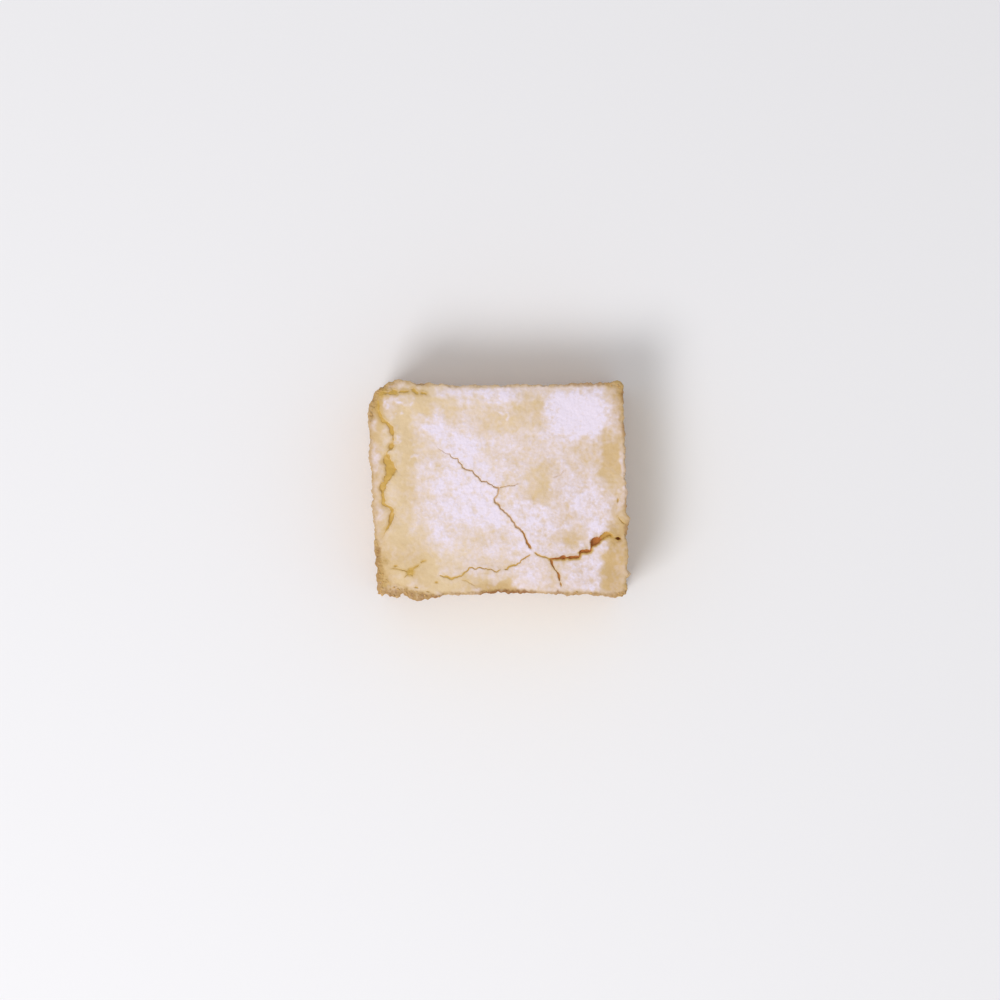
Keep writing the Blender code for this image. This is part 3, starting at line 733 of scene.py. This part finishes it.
sugarStyle = {
    "level": 0.44,
    "warp": ((3.4, 1.0), (1.3, 0.6)),
    "softness": 0.5,
    "squareness": 2.6,  # 2 would make the places ellipses
    "mottles": ((4.6, 0.16), (2.4, 0.30), (1.2, 0.39), (0.6, 0.30)),
    "thickness": 0.15,
    "lumpSize": 0.6,
    "rimWidth": 0.9,
    # How much of it is lost near the rim and where the skin has worn or browned, the browning including
    # painted shade
    "rimLoss": 0.55,
    "wornLoss": 0.7,
    "brownLoss": 0.9,
}


def sugarAt(points):
    # Sugar cover from 0, bare, to 1, thick and white
    warpX = ripple(points, sugarStyle["warp"], lift=21.0)
    warpY = ripple(points, sugarStyle["warp"], lift=34.0)
    x, y = points[:, 0] + 2 * warpX, points[:, 1] + 2 * warpY
    level = np.full(len(points), sugarStyle["level"])
    soft, power = sugarStyle["softness"], sugarStyle["squareness"]
    for sign, places in ((1, sugarPlaces["thick"]), (-1, sugarPlaces["bare"])):
        for px, py, halfLength, halfWidth, tilt, strength in places:
            c, s = math.cos(math.radians(tilt)), math.sin(math.radians(tilt))
            dx, dy = x - px, y - py
            across = np.abs((dx * c + dy * s) / halfLength) ** power
            across += np.abs((dy * c - dx * s) / halfWidth) ** power
            radius = across ** (1 / power)
            level += sign * strength * (1 - smoothStep(1 - soft, 1 + soft, radius))
    mottle = ripple(points, sugarStyle["mottles"], lift=9.0)
    return np.clip(level + mottle * (0.25 + np.clip(level, 0.0, 0.75)), 0.0, 1.0)


# Baked skin

skin = {
    "ringPoints": 1040,
    "pointStep": 0.235,
    # How far the loose points keep from the rim, and from the banks, feet and middles of cracks
    "pointGaps": {"rim": 0.18, "bank": 0.10, "foot": 0.08, "middle": 0.09},
    "crackToRim": 0.12,
    "weld": 0.012,
    "ripples": ((15.0, 0.40), (5.0, 0.15)),
    "fineRipples": ((2.2, 0.08), (0.9, 0.05)),
    "panEdgeFall": 0.9,
    "panEdgeWidth": 3.2,
    "dents": (
        (-32.0, -27.6, 5.0, -2.0), (-25.5, -27.8, 3.2, -1.0), (3.2, -27.6, 3.0, -1.5),
        (9.6, -27.4, 1.6, -0.6), (29.4, -20.0, 3.0, -0.45), (28.9, 4.0, 3.2, -0.4)),
    # Inset from the plan and drop below the top, from the rounded edge down to the hidden underside
    "edge": ((0.45, 0.0), (0.22, 0.05), (0.07, 0.16), (0.0, 0.34), (0.03, 0.58), (0.20, 0.80), (0.90, 0.96),
             (1.30, 4.3)),
    "wallRipples": ((6.0, 0.20),),
    "fray": ((2.0, 0.42), (0.9, 0.36), (0.55, 0.16)),
    "rimWidth": 0.55,
    "crumbs": ((1.2, 0.34), (0.6, 0.26)),  # cell size and relief where the skin has crumbled
    "crags": (
        (-15.1, 27.6, 21.4, 0.4, 0.8), (33.0, -7.4, 21.8, 0.9, 1.4), (32.9, -21.4, 21.6, 1.1, 0.7),
        (-26.8, -27.4, 21.2, 0.5, 0.6), (-31.6, -18.8, 21.2, 0.5, 0.6)),
}

# Where the crumbled rim is wider than elsewhere: x, y, radius and extra width
wideRims = (
    (-31.5, 26.0, 5.2, 2.4), (-33.4, 18.0, 4.0, 0.5), (-31.4, -17.0, 3.0, 1.3), (-31.4, -24.8, 4.6, 2.7),
    (-26.5, -27.0, 4.6, 1.7), (-20.5, -27.5, 4.6, 1.1), (31.5, 27.0, 3.0, 1.2), (32.3, -26.5, 3.0, 0.8),
    (22.0, 27.0, 6.0, 0.3), (-20.0, 27.5, 2.5, 0.3), (1.0, -25.8, 6.0, 0.8), (31.8, 20.0, 6.0, 0.5),
    (32.6, -8.0, 3.0, 0.5),
)

wornPlaces = (  # x, y, half length, half width, strength
    (-22.9, -21.4, 1.5, 1.1, 0.3), (30.2, -12.9, 1.3, 1.1, 0.5), (-30.3, -18.2, 1.5, 1.2, 0.8),
    (-29.4, -23.8, 1.9, 2.4, 0.55),
)

brownPlaces = (
    (30.5, -12.4, 1.1, 1.0, 0.6), (15.1, -25.9, 0.5, 0.45, 0.9), (-31.0, -15.6, 0.7, 0.9, 0.6),
)

fringePlaces = (  # where only the outermost millimetre is brown
    (1.8, -26.2, 8.0, 1.6, 1.0), (-16.2, -27.6, 1.9, 1.4, 0.9), (-21.0, -28.0, 2.6, 1.4, 0.3),
    (22.0, 27.4, 6.0, 1.5, 0.7), (-20.3, 27.7, 2.0, 1.4, 0.7), (31.8, 24.0, 1.4, 1.8, 0.7),
    (32.2, 15.6, 1.4, 2.0, 0.7), (32.9, -3.4, 1.4, 1.6, 0.6), (32.9, -10.0, 1.4, 1.8, 0.7),
    (28.8, -27.3, 1.6, 1.2, 0.6), (-31.6, 26.6, 2.4, 2.0, 0.4), (15.4, -26.4, 1.2, 1.0, 0.8),
)


def panEdge(points):
    corner = bar["corners"][0]
    fromPan = np.minimum(points[:, 0] - corner[0], corner[1] - points[:, 1])
    return np.exp(-((np.maximum(0.0, fromPan) / skin["panEdgeWidth"]) ** 2))


def wornAt(points, fromEdge):
    # Where the skin has crumbled: a thin rim all round, and wide places at the corners
    warped = points + np.column_stack((noiseAt(points, 1.6, 51.0), noiseAt(points, 1.6, 57.0)))
    grainy = 0.5 * noiseAt(points, 0.9, 63.0) + 0.4 * noiseAt(points, 2.6, 66.0)
    # Along the front and left the rim is wider and more worn, partly as painted shade
    width = skin["rimWidth"] + bumps(points, wideRims) + 0.25 * shadedCrumblySides(points)
    frayed = fromEdge + 0.5 * width * noiseAt(points, 1.6, 69.0)
    strength = 0.5 + 0.2 * shadedCrumblySides(points) + 0.4 * smoothStep(0.8, 2.0, width)
    rim = smoothStep(1.5 * width, 0.5 * width, frayed) * strength
    return np.clip(np.maximum(rim, placesAt(warped, wornPlaces)) * (1 + grainy), 0.0, 1.0)


def shadedCrumblySides(points):
    # Painted shade: the rim is darker at the front and a little at the left, most at the corner between them,
    # and crumbles wider there
    left = smoothStep(-29.8, -31.4, points[:, 0]) * (0.35 + 0.65 * smoothStep(-13.0, -16.0, points[:, 1]))
    return np.maximum(smoothStep(-24.8, -26.4, points[:, 1]), left)


def brownAt(points, fromEdge):
    warped = points + 0.5 * np.column_stack((noiseAt(points, 1.4, 51.0), noiseAt(points, 1.4, 57.0)))
    frayed = fromEdge + 0.5 * noiseAt(points, 1.0, 72.0)
    fringe = placesAt(warped, fringePlaces) * smoothStep(1.1, 0.4, frayed)
    extra = bumps(points, wideRims)
    # Painted shade: the front and left rims are browned to stand for the shade along them
    sides = 0.42 * shadedCrumblySides(points) * smoothStep(1.3 + extra, 0.5 + 0.4 * extra, frayed)
    return np.maximum(np.maximum(fringe, sides), placesAt(warped, brownPlaces, soft=0.6))


toastPlaces = (  # x, y, half length, half width, strength
    (-26.0, -21.0, 8.0, 7.0, 0.22), (29.9, -18.5, 2.4, 9.0, 0.30), (30.6, 22.5, 1.8, 6.0, 0.40),
    (-29.5, 24.5, 5.0, 4.0, 0.25), (1.0, 17.3, 6.0, 3.0, 0.10), (-0.5, -25.0, 6.5, 1.4, 0.50),
    (-29.3, -23.5, 3.6, 3.4, 0.45),
)


def toastAt(points):
    # The bare skin is most baked at the right, the front right and the left strip
    across = smoothStep(-10.0, 34.0, points[:, 0] - 0.25 * points[:, 1])
    left = smoothStep(-27.5, -32.0, points[:, 0])
    broad = 0.24 + 0.48 * across + 0.55 * left + placesAt(points, toastPlaces, soft=0.6)
    return broad + 0.22 * noiseAt(points, 6.5, 40.0) + 0.10 * noiseAt(points, 2.0, 44.0)


def skinHeight(points, field, worn):
    # Top of the bar over each plan point, with cracks, curled lips, crumbled places and sugar
    height = bar["height"] - 0.3 + ripple(points, skin["ripples"]) - skin["panEdgeFall"] * panEdge(points)
    height += bumps(points, skin["dents"])
    height += ripple(points, skin["fineRipples"], lift=4.0) + field["lift"] * (1 - field["open"])
    lump = 0.75 + 0.5 * noiseAt(points, sugarStyle["lumpSize"], 6.0)
    height += sugarStyle["thickness"] * sugarAt(points) * lump * (1 - field["open"]) * (1 - worn)
    crumbled = np.flatnonzero(worn > 0.02)
    crumbs, _ = crumbCells(np.column_stack((points[crumbled], height[crumbled])), skin["crumbs"])
    height[crumbled] += worn[crumbled] * (crumbs - 0.12)
    floor = 0.16 * noiseAt(points, 1.1, 2.0)
    return height - field["depth"] + floor * field["open"]


def heightInside(outline, normals, inset):
    inner = outline - normals * inset
    return skinHeight(inner, crackField(inner), wornAt(inner, np.full(len(inner), inset)))


def fillingSide(points, normals, z):
    # How far the filling's side stands out of the plan here
    positions = np.column_stack((points, z))
    return ripple(points, bar["planRipples"]) + ripple(positions, skin["wallRipples"], lift=3.0) + cragReach(
        positions, skin["crags"])


def crackLines():
    # Centre, banks and foot of each wall, as pairs of plan points
    lines = []
    for _, path in crackPaths:
        centre, halves = path["centre"], path["halves"]
        sideways = sidewaysOf(centre)
        wall = wallOf(halves)
        offsets = [np.zeros(len(centre)), halves[:, 0], -halves[:, 1]]
        offsets += [halves[:, 0] - wall[:, 0], wall[:, 1] - halves[:, 1]]
        for offset in offsets:
            line = centre + sideways * offset[:, None]
            lines += list(zip(line[:-1], line[1:]))
    return lines


def skinPlanPoints(ring, normals):
    # Loose points on an uneven triangle grid, clear of the rim and of the cracks' own lines
    step, gaps = skin["pointStep"], skin["pointGaps"]
    rowHeight = 0.866
    rng = np.random.default_rng(11)
    columns, rows = int(70 / step), int(60 / (step * rowHeight))
    column, row = np.meshgrid(np.arange(columns), np.arange(rows))
    x = -35 + (column + 0.5 * (row % 2)) * step
    y = -30 + row * step * rowHeight
    points = np.column_stack((x.ravel(), y.ravel())) + rng.uniform(-0.22, 0.22, (columns * rows, 2)) * step
    points = points[depthInside(points, ring, normals) > gaps["rim"]]
    field = crackField(points)
    intoWall = -field["nearest"]
    onLine = (np.abs(intoWall) < gaps["bank"]) | (np.abs(intoWall - field["wall"]) < gaps["foot"])
    onLine |= (intoWall > 0) & (field["half"] - intoWall < gaps["middle"])
    return points[~onLine]


def skinRings(outline, normals):
    # From the rounded edge down the frayed side to the hidden underside
    rings = []
    for inset, drop in skin["edge"]:
        z = heightInside(outline, normals, max(inset, 0.3)) - drop
        out = fillingSide(outline, normals, z) - inset
        if 0 < drop < 0.95:
            out += ripple(np.column_stack((outline, z)), skin["fray"], lift=8.0)
        rings.append(ringAt(outline, normals, out, z))
    return rings


def skinTriangles(topRing, normals):
    # Plan points, triangles with the cracks' lines among their edges, and the ring's place in them
    count = len(topRing)
    flat = [Vector(point) for point in topRing]
    edges = [(index, (index + 1) % count) for index in range(count)]
    lines = crackLines()
    ends = np.array(lines).reshape(-1, 2)
    usable = (depthInside(ends, topRing, normals) > skin["crackToRim"]).reshape(-1, 2).all(axis=1)
    for (start, end), isUsable in zip(lines, usable):
        if isUsable:
            edges.append((len(flat), len(flat) + 1))
            flat += [Vector(start), Vector(end)]
    flat += [Vector(point) for point in skinPlanPoints(topRing, normals)]
    found = delaunay_2d_cdt(flat, edges, [], 1, skin["weld"])
    ringIndex = {}
    for made, sources in enumerate(found[3]):
        for source in sources:
            if source < count:
                ringIndex[source] = made
    planPoints = np.array([tuple(point) for point in found[0]])
    return planPoints, [tuple(face) for face in found[2]], [ringIndex[index] for index in range(count)]


def skinAttributes(points, plan, fromEdge, isTop):
    around = crackField(plan)
    worn = wornAt(points[:, :2], fromEdge)
    brown = brownAt(points[:, :2], fromEdge)
    nearRim = np.exp(-((fromEdge / sugarStyle["rimWidth"]) ** 2))
    crackShade = around["tint"]
    golden = np.maximum(crackShade, around["gold"]) * isTop
    sugared = sugarAt(points[:, :2]) * (1 - golden)
    for loss, share in (("rimLoss", nearRim), ("wornLoss", worn), ("brownLoss", brown)):
        sugared *= 1 - sugarStyle[loss] * share
    return {
        "sugar": sugared,
        "crack": golden,
        "crackHue": around["hue"] * crackShade / np.maximum(golden, 0.01),
        "skinToast": toastAt(points[:, :2]) + 0.25 * nearRim,
        # worn and brown also hold the painted shade along the front and left rims
        "worn": np.maximum(worn, brown),
        "brown": brown,
        "crumbled": worn * (worn > 0.6) * (fromEdge < 3.5) * isTop * (1 - crackShade),
    }


def makeSkin(material):
    outline, normals = planOutline(bar["fillingRadii"], skin["ringPoints"])
    rings = skinRings(outline, normals)
    topRing = rings[0][:, :2]
    planPoints, faces, upper = skinTriangles(topRing, normals)
    fromEdge = depthInside(planPoints, topRing, normals) + skin["edge"][0][0]
    topZ = skinHeight(planPoints, crackField(planPoints), wornAt(planPoints, fromEdge))
    top = np.column_stack((planPoints, topZ))
    for index, point in zip(upper, rings[0]):
        top[index] = point
    count = skin["ringPoints"]
    for level in range(len(rings) - 1):
        start = len(top) + level * count
        lower = range(start, start + count)
        for index in range(count):
            after = (index + 1) % count
            faces.append((lower[after], lower[index], upper[index], upper[after]))
        upper = lower
    faces.append(tuple(upper))
    points = np.concatenate([top] + rings[1:])
    plan = np.concatenate([planPoints] + [outline] * (len(rings) - 1))
    isTop = np.arange(len(plan)) < len(planPoints)
    insets = np.repeat([inset for inset, _ in skin["edge"][1:]], count)
    attributes = skinAttributes(points, plan, np.concatenate((fromEdge, insets)), isTop)
    return makePiece("cracked_skin", points, faces, attributes, material)


# Lemon curd

curd = {
    "ringPoints": 1200,
    "rows": 58,
    "foot": 7.6,  # hidden behind the shortbread's uneven top edge
    "footInset": 0.5,
    "topDrop": 0.80,
    "recess": 0.38,  # behind the skin's edge
    "bulge": 0.15,
    "cutWaves": ((6.0, 0.30), (2.6, 0.16)),
    "cutStreaks": ((1.4, 0.10), (0.6, 0.07)),  # drawn down by the knife
    "cutGrain": ((0.8, 0.07), (0.45, 0.05)),
    "panWrinkles": ((2.4, 0.26), (0.9, 0.12)),
    "pitCount": 320,
    "tuckInset": 1.0,
    "hollow": 4.6,
}


def curdPits():
    # Small bubbles that the knife opened, most of them just under the skin
    rng = random.Random(5)
    outline, normals = planOutline(bar["fillingRadii"], curd["ringPoints"])
    cut = np.flatnonzero(cutShare(normals) > 0.5)
    pits = []
    for _ in range(curd["pitCount"]):
        index = int(cut[rng.randrange(len(cut))])
        below = 1.1 + 11.0 * rng.random() ** 2.4
        radius = 0.20 + 0.42 * rng.random() ** 2
        pits.append((*outline[index], bar["height"] - 0.4 - below, radius * 0.8, radius))
    return pits


def makeCurd(material):
    outline, normals = planOutline(bar["fillingRadii"], curd["ringPoints"])
    cut = cutShare(normals)
    topZ = heightInside(outline, normals, 0.5) - curd["topDrop"]
    pits = curdPits()
    rings, shares = [], {"foam": [], "dust": [], "soaked": [], "rim": [], "dragged": []}
    for row in range(curd["rows"] + 1):
        share = row / curd["rows"]
        z = curd["foot"] + (topZ - curd["foot"]) * share
        positions = np.column_stack((outline, z))
        above, under = z - curd["foot"], topZ - z
        out = fillingSide(outline, normals, z) - curd["recess"]
        out += curd["bulge"] * math.sin(math.pi * share) * (0.4 + 0.6 * cut)
        drawn = ripple(positions * (1.0, 1.0, 0.16), curd["cutStreaks"], lift=14.0)
        out += cut * (drawn + ripple(positions, curd["cutWaves"] + curd["cutGrain"], lift=12.0))
        out += (1 - cut) * ripple(positions * (1.0, 1.0, 0.45), curd["panWrinkles"], lift=17.0)
        out -= cragReach(positions, pits)
        out -= curd["footInset"] * smoothStep(1.4, 0.2, above)
        rings.append(ringAt(outline, normals, out, z))
        wave = 1.1 * noiseAt(positions, 2.2, 19.0)
        broadWave = noiseAt(positions, 5.0, 22.0)
        shares["foam"].append(smoothStep(2.6, 0.7, under + wave) * cut * 0.85)
        shares["dust"].append(smoothStep(2.6, 0.0, under + wave) * smoothStep(-0.3, 0.5, broadWave) * 0.25)
        shares["soaked"].append(smoothStep(2.3, 1.0, above + wave) * 0.6)
        shares["rim"].append(smoothStep(4.6, 0.4, under + wave + 2.4 * broadWave) * 0.8)
        shares["dragged"].append(smoothStep(6.0, 0.8, above + 3.0 * broadWave) * cut * (above > 0.8))
    # The last rings tuck in under the skin and down to a hidden floor below the deepest crack
    for inset, drop in ((curd["tuckInset"], 0.0), (curd["tuckInset"] + 0.1, curd["hollow"])):
        ring = rings[curd["rows"]].copy()
        ring[:, :2] -= normals * inset
        ring[:, 2] -= drop
        rings.append(ring)
        for values in shares.values():
            values.append(values[-1])
    faces = tubeFaces(curd["ringPoints"], len(rings))
    attributes = {name: np.concatenate(values) for name, values in shares.items()}
    attributes["cut"] = np.tile(cut, len(rings))
    return makePiece("lemon_curd", np.concatenate(rings), faces, attributes, material)


# Shortbread base

shortbread = {
    "ringPoints": 1300,
    "rows": 44,
    "topWaves": ((5.0, 0.8), (1.8, 0.5)),
    "drawnIn": 0.5,  # behind the filling's side
    "rimInset": 0.4,
    "rimRows": 2.6,
    "ripples": ((4.2, 0.45), (1.9, 0.32)),
    "crags": (
        (32.6, -21.5, 6.6, 0.7, 1.1), (32.8, -16.4, 5.0, 0.6, 1.2), (-26.9, -27.3, 6.8, 1.1, 1.0),
        (-20.8, -27.8, 6.0, 1.0, 2.0), (-31.2, -18.8, 6.8, 0.9, 1.1), (-31.6, -14.6, 7.4, 0.8, 1.0),
        (-31.2, -25.2, 6.4, 0.9, 1.7), (-12.0, 27.2, 6.0, 0.6, 1.2), (18.0, -26.8, 4.6, 0.5, 1.3)),
    "crumbCells": ((1.7, 0.24), (0.8, 0.18), (0.42, 0.09)),  # cell size and relief
    "panSmoothing": 0.55,
}


def makeShortbread(material):
    outline, normals = planOutline(bar["baseRadii"], shortbread["ringPoints"])
    cut = cutShare(normals)
    topZ = bar["baseHeight"] + ripple(outline, shortbread["topWaves"], lift=27.0)
    rings, toast, hollow, loose = [], [], [], []
    for row in range(shortbread["rows"] + 1):
        z = topZ * row / shortbread["rows"]
        fromRim = min(row, shortbread["rows"] - row) / shortbread["rimRows"]
        inset = shortbread["rimInset"] * (1 - math.sqrt(1 - (1 - min(1.0, fromRim)) ** 2))
        positions = np.column_stack((outline, z))
        crumbs, creviceShade = crumbCells(positions, shortbread["crumbCells"])
        rough = shortbread["panSmoothing"] + (1 - shortbread["panSmoothing"]) * cut
        out = ripple(outline, bar["planRipples"]) + ripple(positions, shortbread["ripples"], lift=3.0)
        out += cragReach(positions, shortbread["crags"]) - inset - shortbread["drawnIn"] + crumbs * rough
        rings.append(ringAt(outline, normals, out, z))
        low = smoothStep(2.6, 0.0, z + 1.2 * noiseAt(positions, 3.0, 61.0))
        toast.append(np.clip(0.60 * low + 0.40 * (1 - cut), 0, 1))
        # Painted shade: the deeper between crumbs, the darker
        hollow.append(np.clip(creviceShade * 2.2 * rough, 0, 0.6))
        corner = np.exp(-(np.hypot(outline[:, 0] + 31, outline[:, 1] + 27) / 9.0) ** 2)
        isSide = 1 < row < shortbread["rows"] - 1
        loose.append((0.25 + 0.5 * cut + 1.0 * corner) * isSide)
    faces = tubeFaces(shortbread["ringPoints"], len(rings))
    attributes = {
        "toast": np.concatenate(toast), "hollow": np.concatenate(hollow), "loose": np.concatenate(loose),
    }
    return makePiece("shortbread", np.concatenate(rings), faces, attributes, material)


# Crumbs and chips, scattered by Geometry Nodes

grainStyle = {"Tilt": 3.1, "Sides": 8, "Rings": 5}

scatters = {
    "shortbread_crumbs": {
        "Where": "loose", "Density": 9.0e5, "Seed": 3, "Smallest": 0.12 * mm, "Largest": 0.60 * mm,
        "Thickness": 0.85, "Roughness": 0.42},
    "dragged_crumbs": {
        "Where": "dragged", "Density": 2.4e5, "Seed": 12, "Smallest": 0.10 * mm, "Largest": 0.45 * mm,
        "Thickness": 0.7, "Roughness": 0.42},
    "skin_crumbs": {
        "Where": "crumbled", "Density": 1.8e6, "Seed": 8, "Smallest": 0.10 * mm, "Largest": 0.42 * mm,
        "Thickness": 0.6, "Roughness": 0.5},
}


def scatterTree():
    tree = bpy.data.node_groups.new("scatter_grains", "GeometryNodeTree")
    sockets = (
        ("Geometry", "NodeSocketGeometry"), ("Where", "NodeSocketString"), ("Density", "NodeSocketFloat"),
        ("Seed", "NodeSocketInt"), ("Smallest", "NodeSocketFloat"), ("Largest", "NodeSocketFloat"),
        ("Thickness", "NodeSocketFloat"), ("Tilt", "NodeSocketFloat"), ("Roughness", "NodeSocketFloat"),
        ("Sides", "NodeSocketInt"), ("Rings", "NodeSocketInt"), ("Material", "NodeSocketMaterial"))
    for name, kind in sockets:
        tree.interface.new_socket(name=name, in_out="INPUT", socket_type=kind)
    tree.interface.new_socket(name="Geometry", in_out="OUTPUT", socket_type="NodeSocketGeometry")
    given = addNode(tree, "NodeGroupInput").outputs
    where = addNode(tree, "GeometryNodeInputNamedAttribute", {"Name": given["Where"]}, data_type="FLOAT")
    density = addNode(tree, "ShaderNodeMath", {0: where, 1: given["Density"]}, operation="MULTIPLY")
    spread = addNode(tree, "GeometryNodeDistributePointsOnFaces", {
        "Mesh": given["Geometry"], "Density": density, "Seed": given["Seed"]})
    # Three grain shapes, each a ball pushed out of true
    place = addNode(tree, "GeometryNodeInputPosition")
    shapes = addNode(tree, "GeometryNodeJoinGeometry")
    for lumpScale in (0.9, 1.3, 1.8):
        ball = addNode(tree, "GeometryNodeMeshUVSphere", {
            "Radius": 1.0, "Segments": given["Sides"], "Rings": given["Rings"]})
        lumps = addNode(tree, "ShaderNodeTexNoise", {"Vector": place, "Scale": lumpScale, "Detail": 1.0})
        centred = addNode(tree, "ShaderNodeVectorMath", {0: lumps.outputs["Color"], 1: (0.5, 0.5, 0.5)},
                          operation="SUBTRACT")
        push = addNode(tree, "ShaderNodeVectorMath", {0: centred, "Scale": given["Roughness"]},
                       operation="SCALE")
        stronger = addNode(tree, "ShaderNodeVectorMath", {0: push, "Scale": 3.0}, operation="SCALE")
        pushed = addNode(tree, "GeometryNodeSetPosition", {
            "Geometry": ball.outputs["Mesh"], "Offset": stronger})
        asInstance = addNode(tree, "GeometryNodeGeometryToInstance", {"Geometry": pushed})
        tree.links.new(asInstance.outputs[0], shapes.inputs[0])
    # Many small grains, few large ones
    dice = addNode(tree, "FunctionNodeRandomValue", {"Seed": 1}, data_type="FLOAT")
    rare = addNode(tree, "ShaderNodeMath", {0: dice.outputs[1], 1: 3.0}, operation="POWER")
    radius = addNode(tree, "ShaderNodeMapRange", {
        "Value": rare, "To Min": given["Smallest"], "To Max": given["Largest"]})
    uneven = addNode(tree, "FunctionNodeRandomValue", {
        0: (0.65, 0.65, 0.65), 1: (1.0, 1.0, 1.0), "Seed": 2}, data_type="FLOAT_VECTOR")
    flat = addNode(tree, "ShaderNodeCombineXYZ", {0: 1.0, 1: 1.0, 2: given["Thickness"]})
    formed = addNode(tree, "ShaderNodeVectorMath", {0: uneven.outputs[0], 1: flat}, operation="MULTIPLY")
    scale = addNode(tree, "ShaderNodeVectorMath", {0: formed, "Scale": radius.outputs["Result"]},
                    operation="SCALE")
    backwards = addNode(tree, "ShaderNodeMath", {0: given["Tilt"], 1: -1.0}, operation="MULTIPLY")
    lowTurn = addNode(tree, "ShaderNodeCombineXYZ", {0: backwards, 1: backwards, 2: -3.14})
    highTurn = addNode(tree, "ShaderNodeCombineXYZ", {0: given["Tilt"], 1: given["Tilt"], 2: 3.14})
    turn = addNode(tree, "FunctionNodeRandomValue", {0: lowTurn, 1: highTurn, "Seed": 4},
                   data_type="FLOAT_VECTOR")
    asRotation = addNode(tree, "FunctionNodeEulerToRotation", {0: turn.outputs[0]})
    turned = addNode(tree, "FunctionNodeRotateRotation", {
        0: spread.outputs["Rotation"], 1: asRotation}, rotation_space="LOCAL")
    pick = addNode(tree, "FunctionNodeRandomValue", {4: 0, 5: 2, "Seed": 6}, data_type="INT")
    placed = addNode(tree, "GeometryNodeInstanceOnPoints", {
        "Points": spread.outputs["Points"], "Instance": shapes, "Pick Instance": True,
        "Instance Index": pick.outputs[2], "Rotation": turned, "Scale": scale})
    real = addNode(tree, "GeometryNodeRealizeInstances", {"Geometry": placed})
    finished = addNode(tree, "GeometryNodeSetMaterial", {"Geometry": real, "Material": given["Material"]})
    addNode(tree, "NodeGroupOutput", {"Geometry": finished})
    return tree


def scatterOn(source, name, tree, material):
    holder = bpy.data.objects.new(name + "_source", source.data.copy())
    bpy.context.scene.collection.objects.link(holder)
    modifier = holder.modifiers.new("scatter", "NODES")
    modifier.node_group = tree
    values = dict(grainStyle, **scatters[name], Material=material)
    for item in tree.interface.items_tree:
        if item.in_out == "INPUT" and item.name in values:
            modifier[item.identifier] = values[item.name]
    bpy.context.view_layer.update()
    evaluated = holder.evaluated_get(bpy.context.evaluated_depsgraph_get())
    mesh = bpy.data.meshes.new_from_object(evaluated)
    holder.modifiers.remove(modifier)
    bpy.data.objects.remove(holder)
    mesh.shade_smooth()
    piece = bpy.data.objects.new(name, mesh)
    bpy.context.scene.collection.objects.link(piece)
    print(f"{name}: {len(mesh.polygons)} faces")
    return piece


# Studio

studio = {
    "photoCentre": (0.13, -2.44),  # where the photograph's middle falls on the bar, in millimetres
    "cameraHeight": 900.0,  # above the skin
    "frameWidth": 257.0,  # millimetres of skin level across the picture
    "sensor": 36.0,
    "keyPower": 7.6,
    "keySize": 0.55,
    "keyFrom": (-0.52, -0.62, 0.95),
    "worldStrength": 0.62,
    "floorColour": "#F1F0F3",
}


def makeStudio():
    scene = bpy.context.scene
    scene.view_settings.view_transform = "Standard"
    x, y = studio["photoCentre"]
    camera = bpy.data.cameras.new("camera")
    camera.sensor_width = studio["sensor"]
    camera.lens = studio["sensor"] * studio["cameraHeight"] / studio["frameWidth"]
    cameraObject = bpy.data.objects.new("camera", camera)
    cameraObject.location = (x * mm, y * mm, (bar["height"] + studio["cameraHeight"]) * mm)
    scene.collection.objects.link(cameraObject)
    scene.camera = cameraObject
    key = bpy.data.lights.new("key", "AREA")
    key.energy = studio["keyPower"]
    key.size = studio["keySize"]
    keyObject = bpy.data.objects.new("key", key)
    keyObject.location = studio["keyFrom"]
    keyObject.rotation_euler = (-Vector(studio["keyFrom"])).to_track_quat("-Z", "Y").to_euler()
    scene.collection.objects.link(keyObject)
    world = bpy.data.worlds.new("studio")
    world.use_nodes = True
    world.node_tree.nodes["Background"].inputs["Color"].default_value = (1.0, 1.0, 1.0, 1.0)
    world.node_tree.nodes["Background"].inputs["Strength"].default_value = studio["worldStrength"]
    scene.world = world
    bpy.ops.mesh.primitive_plane_add(size=6.0, location=(0.0, 0.0, -0.0001))
    floor = bpy.context.object
    floor.name = "floor"
    material, _, shader = newMaterial("pale_paper_floor")
    shader.inputs["Base Color"].default_value = linearColour(studio["floorColour"])
    shader.inputs["Roughness"].default_value = 0.9
    floor.data.materials.append(material)


print("skin")
skinPiece = makeSkin(bakedSkinMaterial())
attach(skinPiece, "root")
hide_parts("lemon_filling")

print("curd")
curdPiece = makeCurd(lemonCurdMaterial())
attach(curdPiece, "root")
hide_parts("lemon_filling")

print("shortbread")
basePiece = makeShortbread(shortbreadMaterial("shortbread"))
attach(basePiece, "root")
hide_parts("shortbread_base")

print("crumbs")
grainTree = scatterTree()
crumbMaterial = shortbreadMaterial("shortbread_crumb", 0.1)
scattered = (
    (basePiece, "shortbread_crumbs", crumbMaterial, "shortbread"),
    (curdPiece, "dragged_crumbs", crumbMaterial, "shortbread"),
    (skinPiece, "skin_crumbs", shortbreadMaterial("baked_skin_crumb", 0.8), "lemon_filling"))
for source, name, grainMaterial, slotName in scattered:
    grains = scatterOn(source, name, grainTree, grainMaterial)
    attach(grains, "root")

print("studio")
makeStudio()
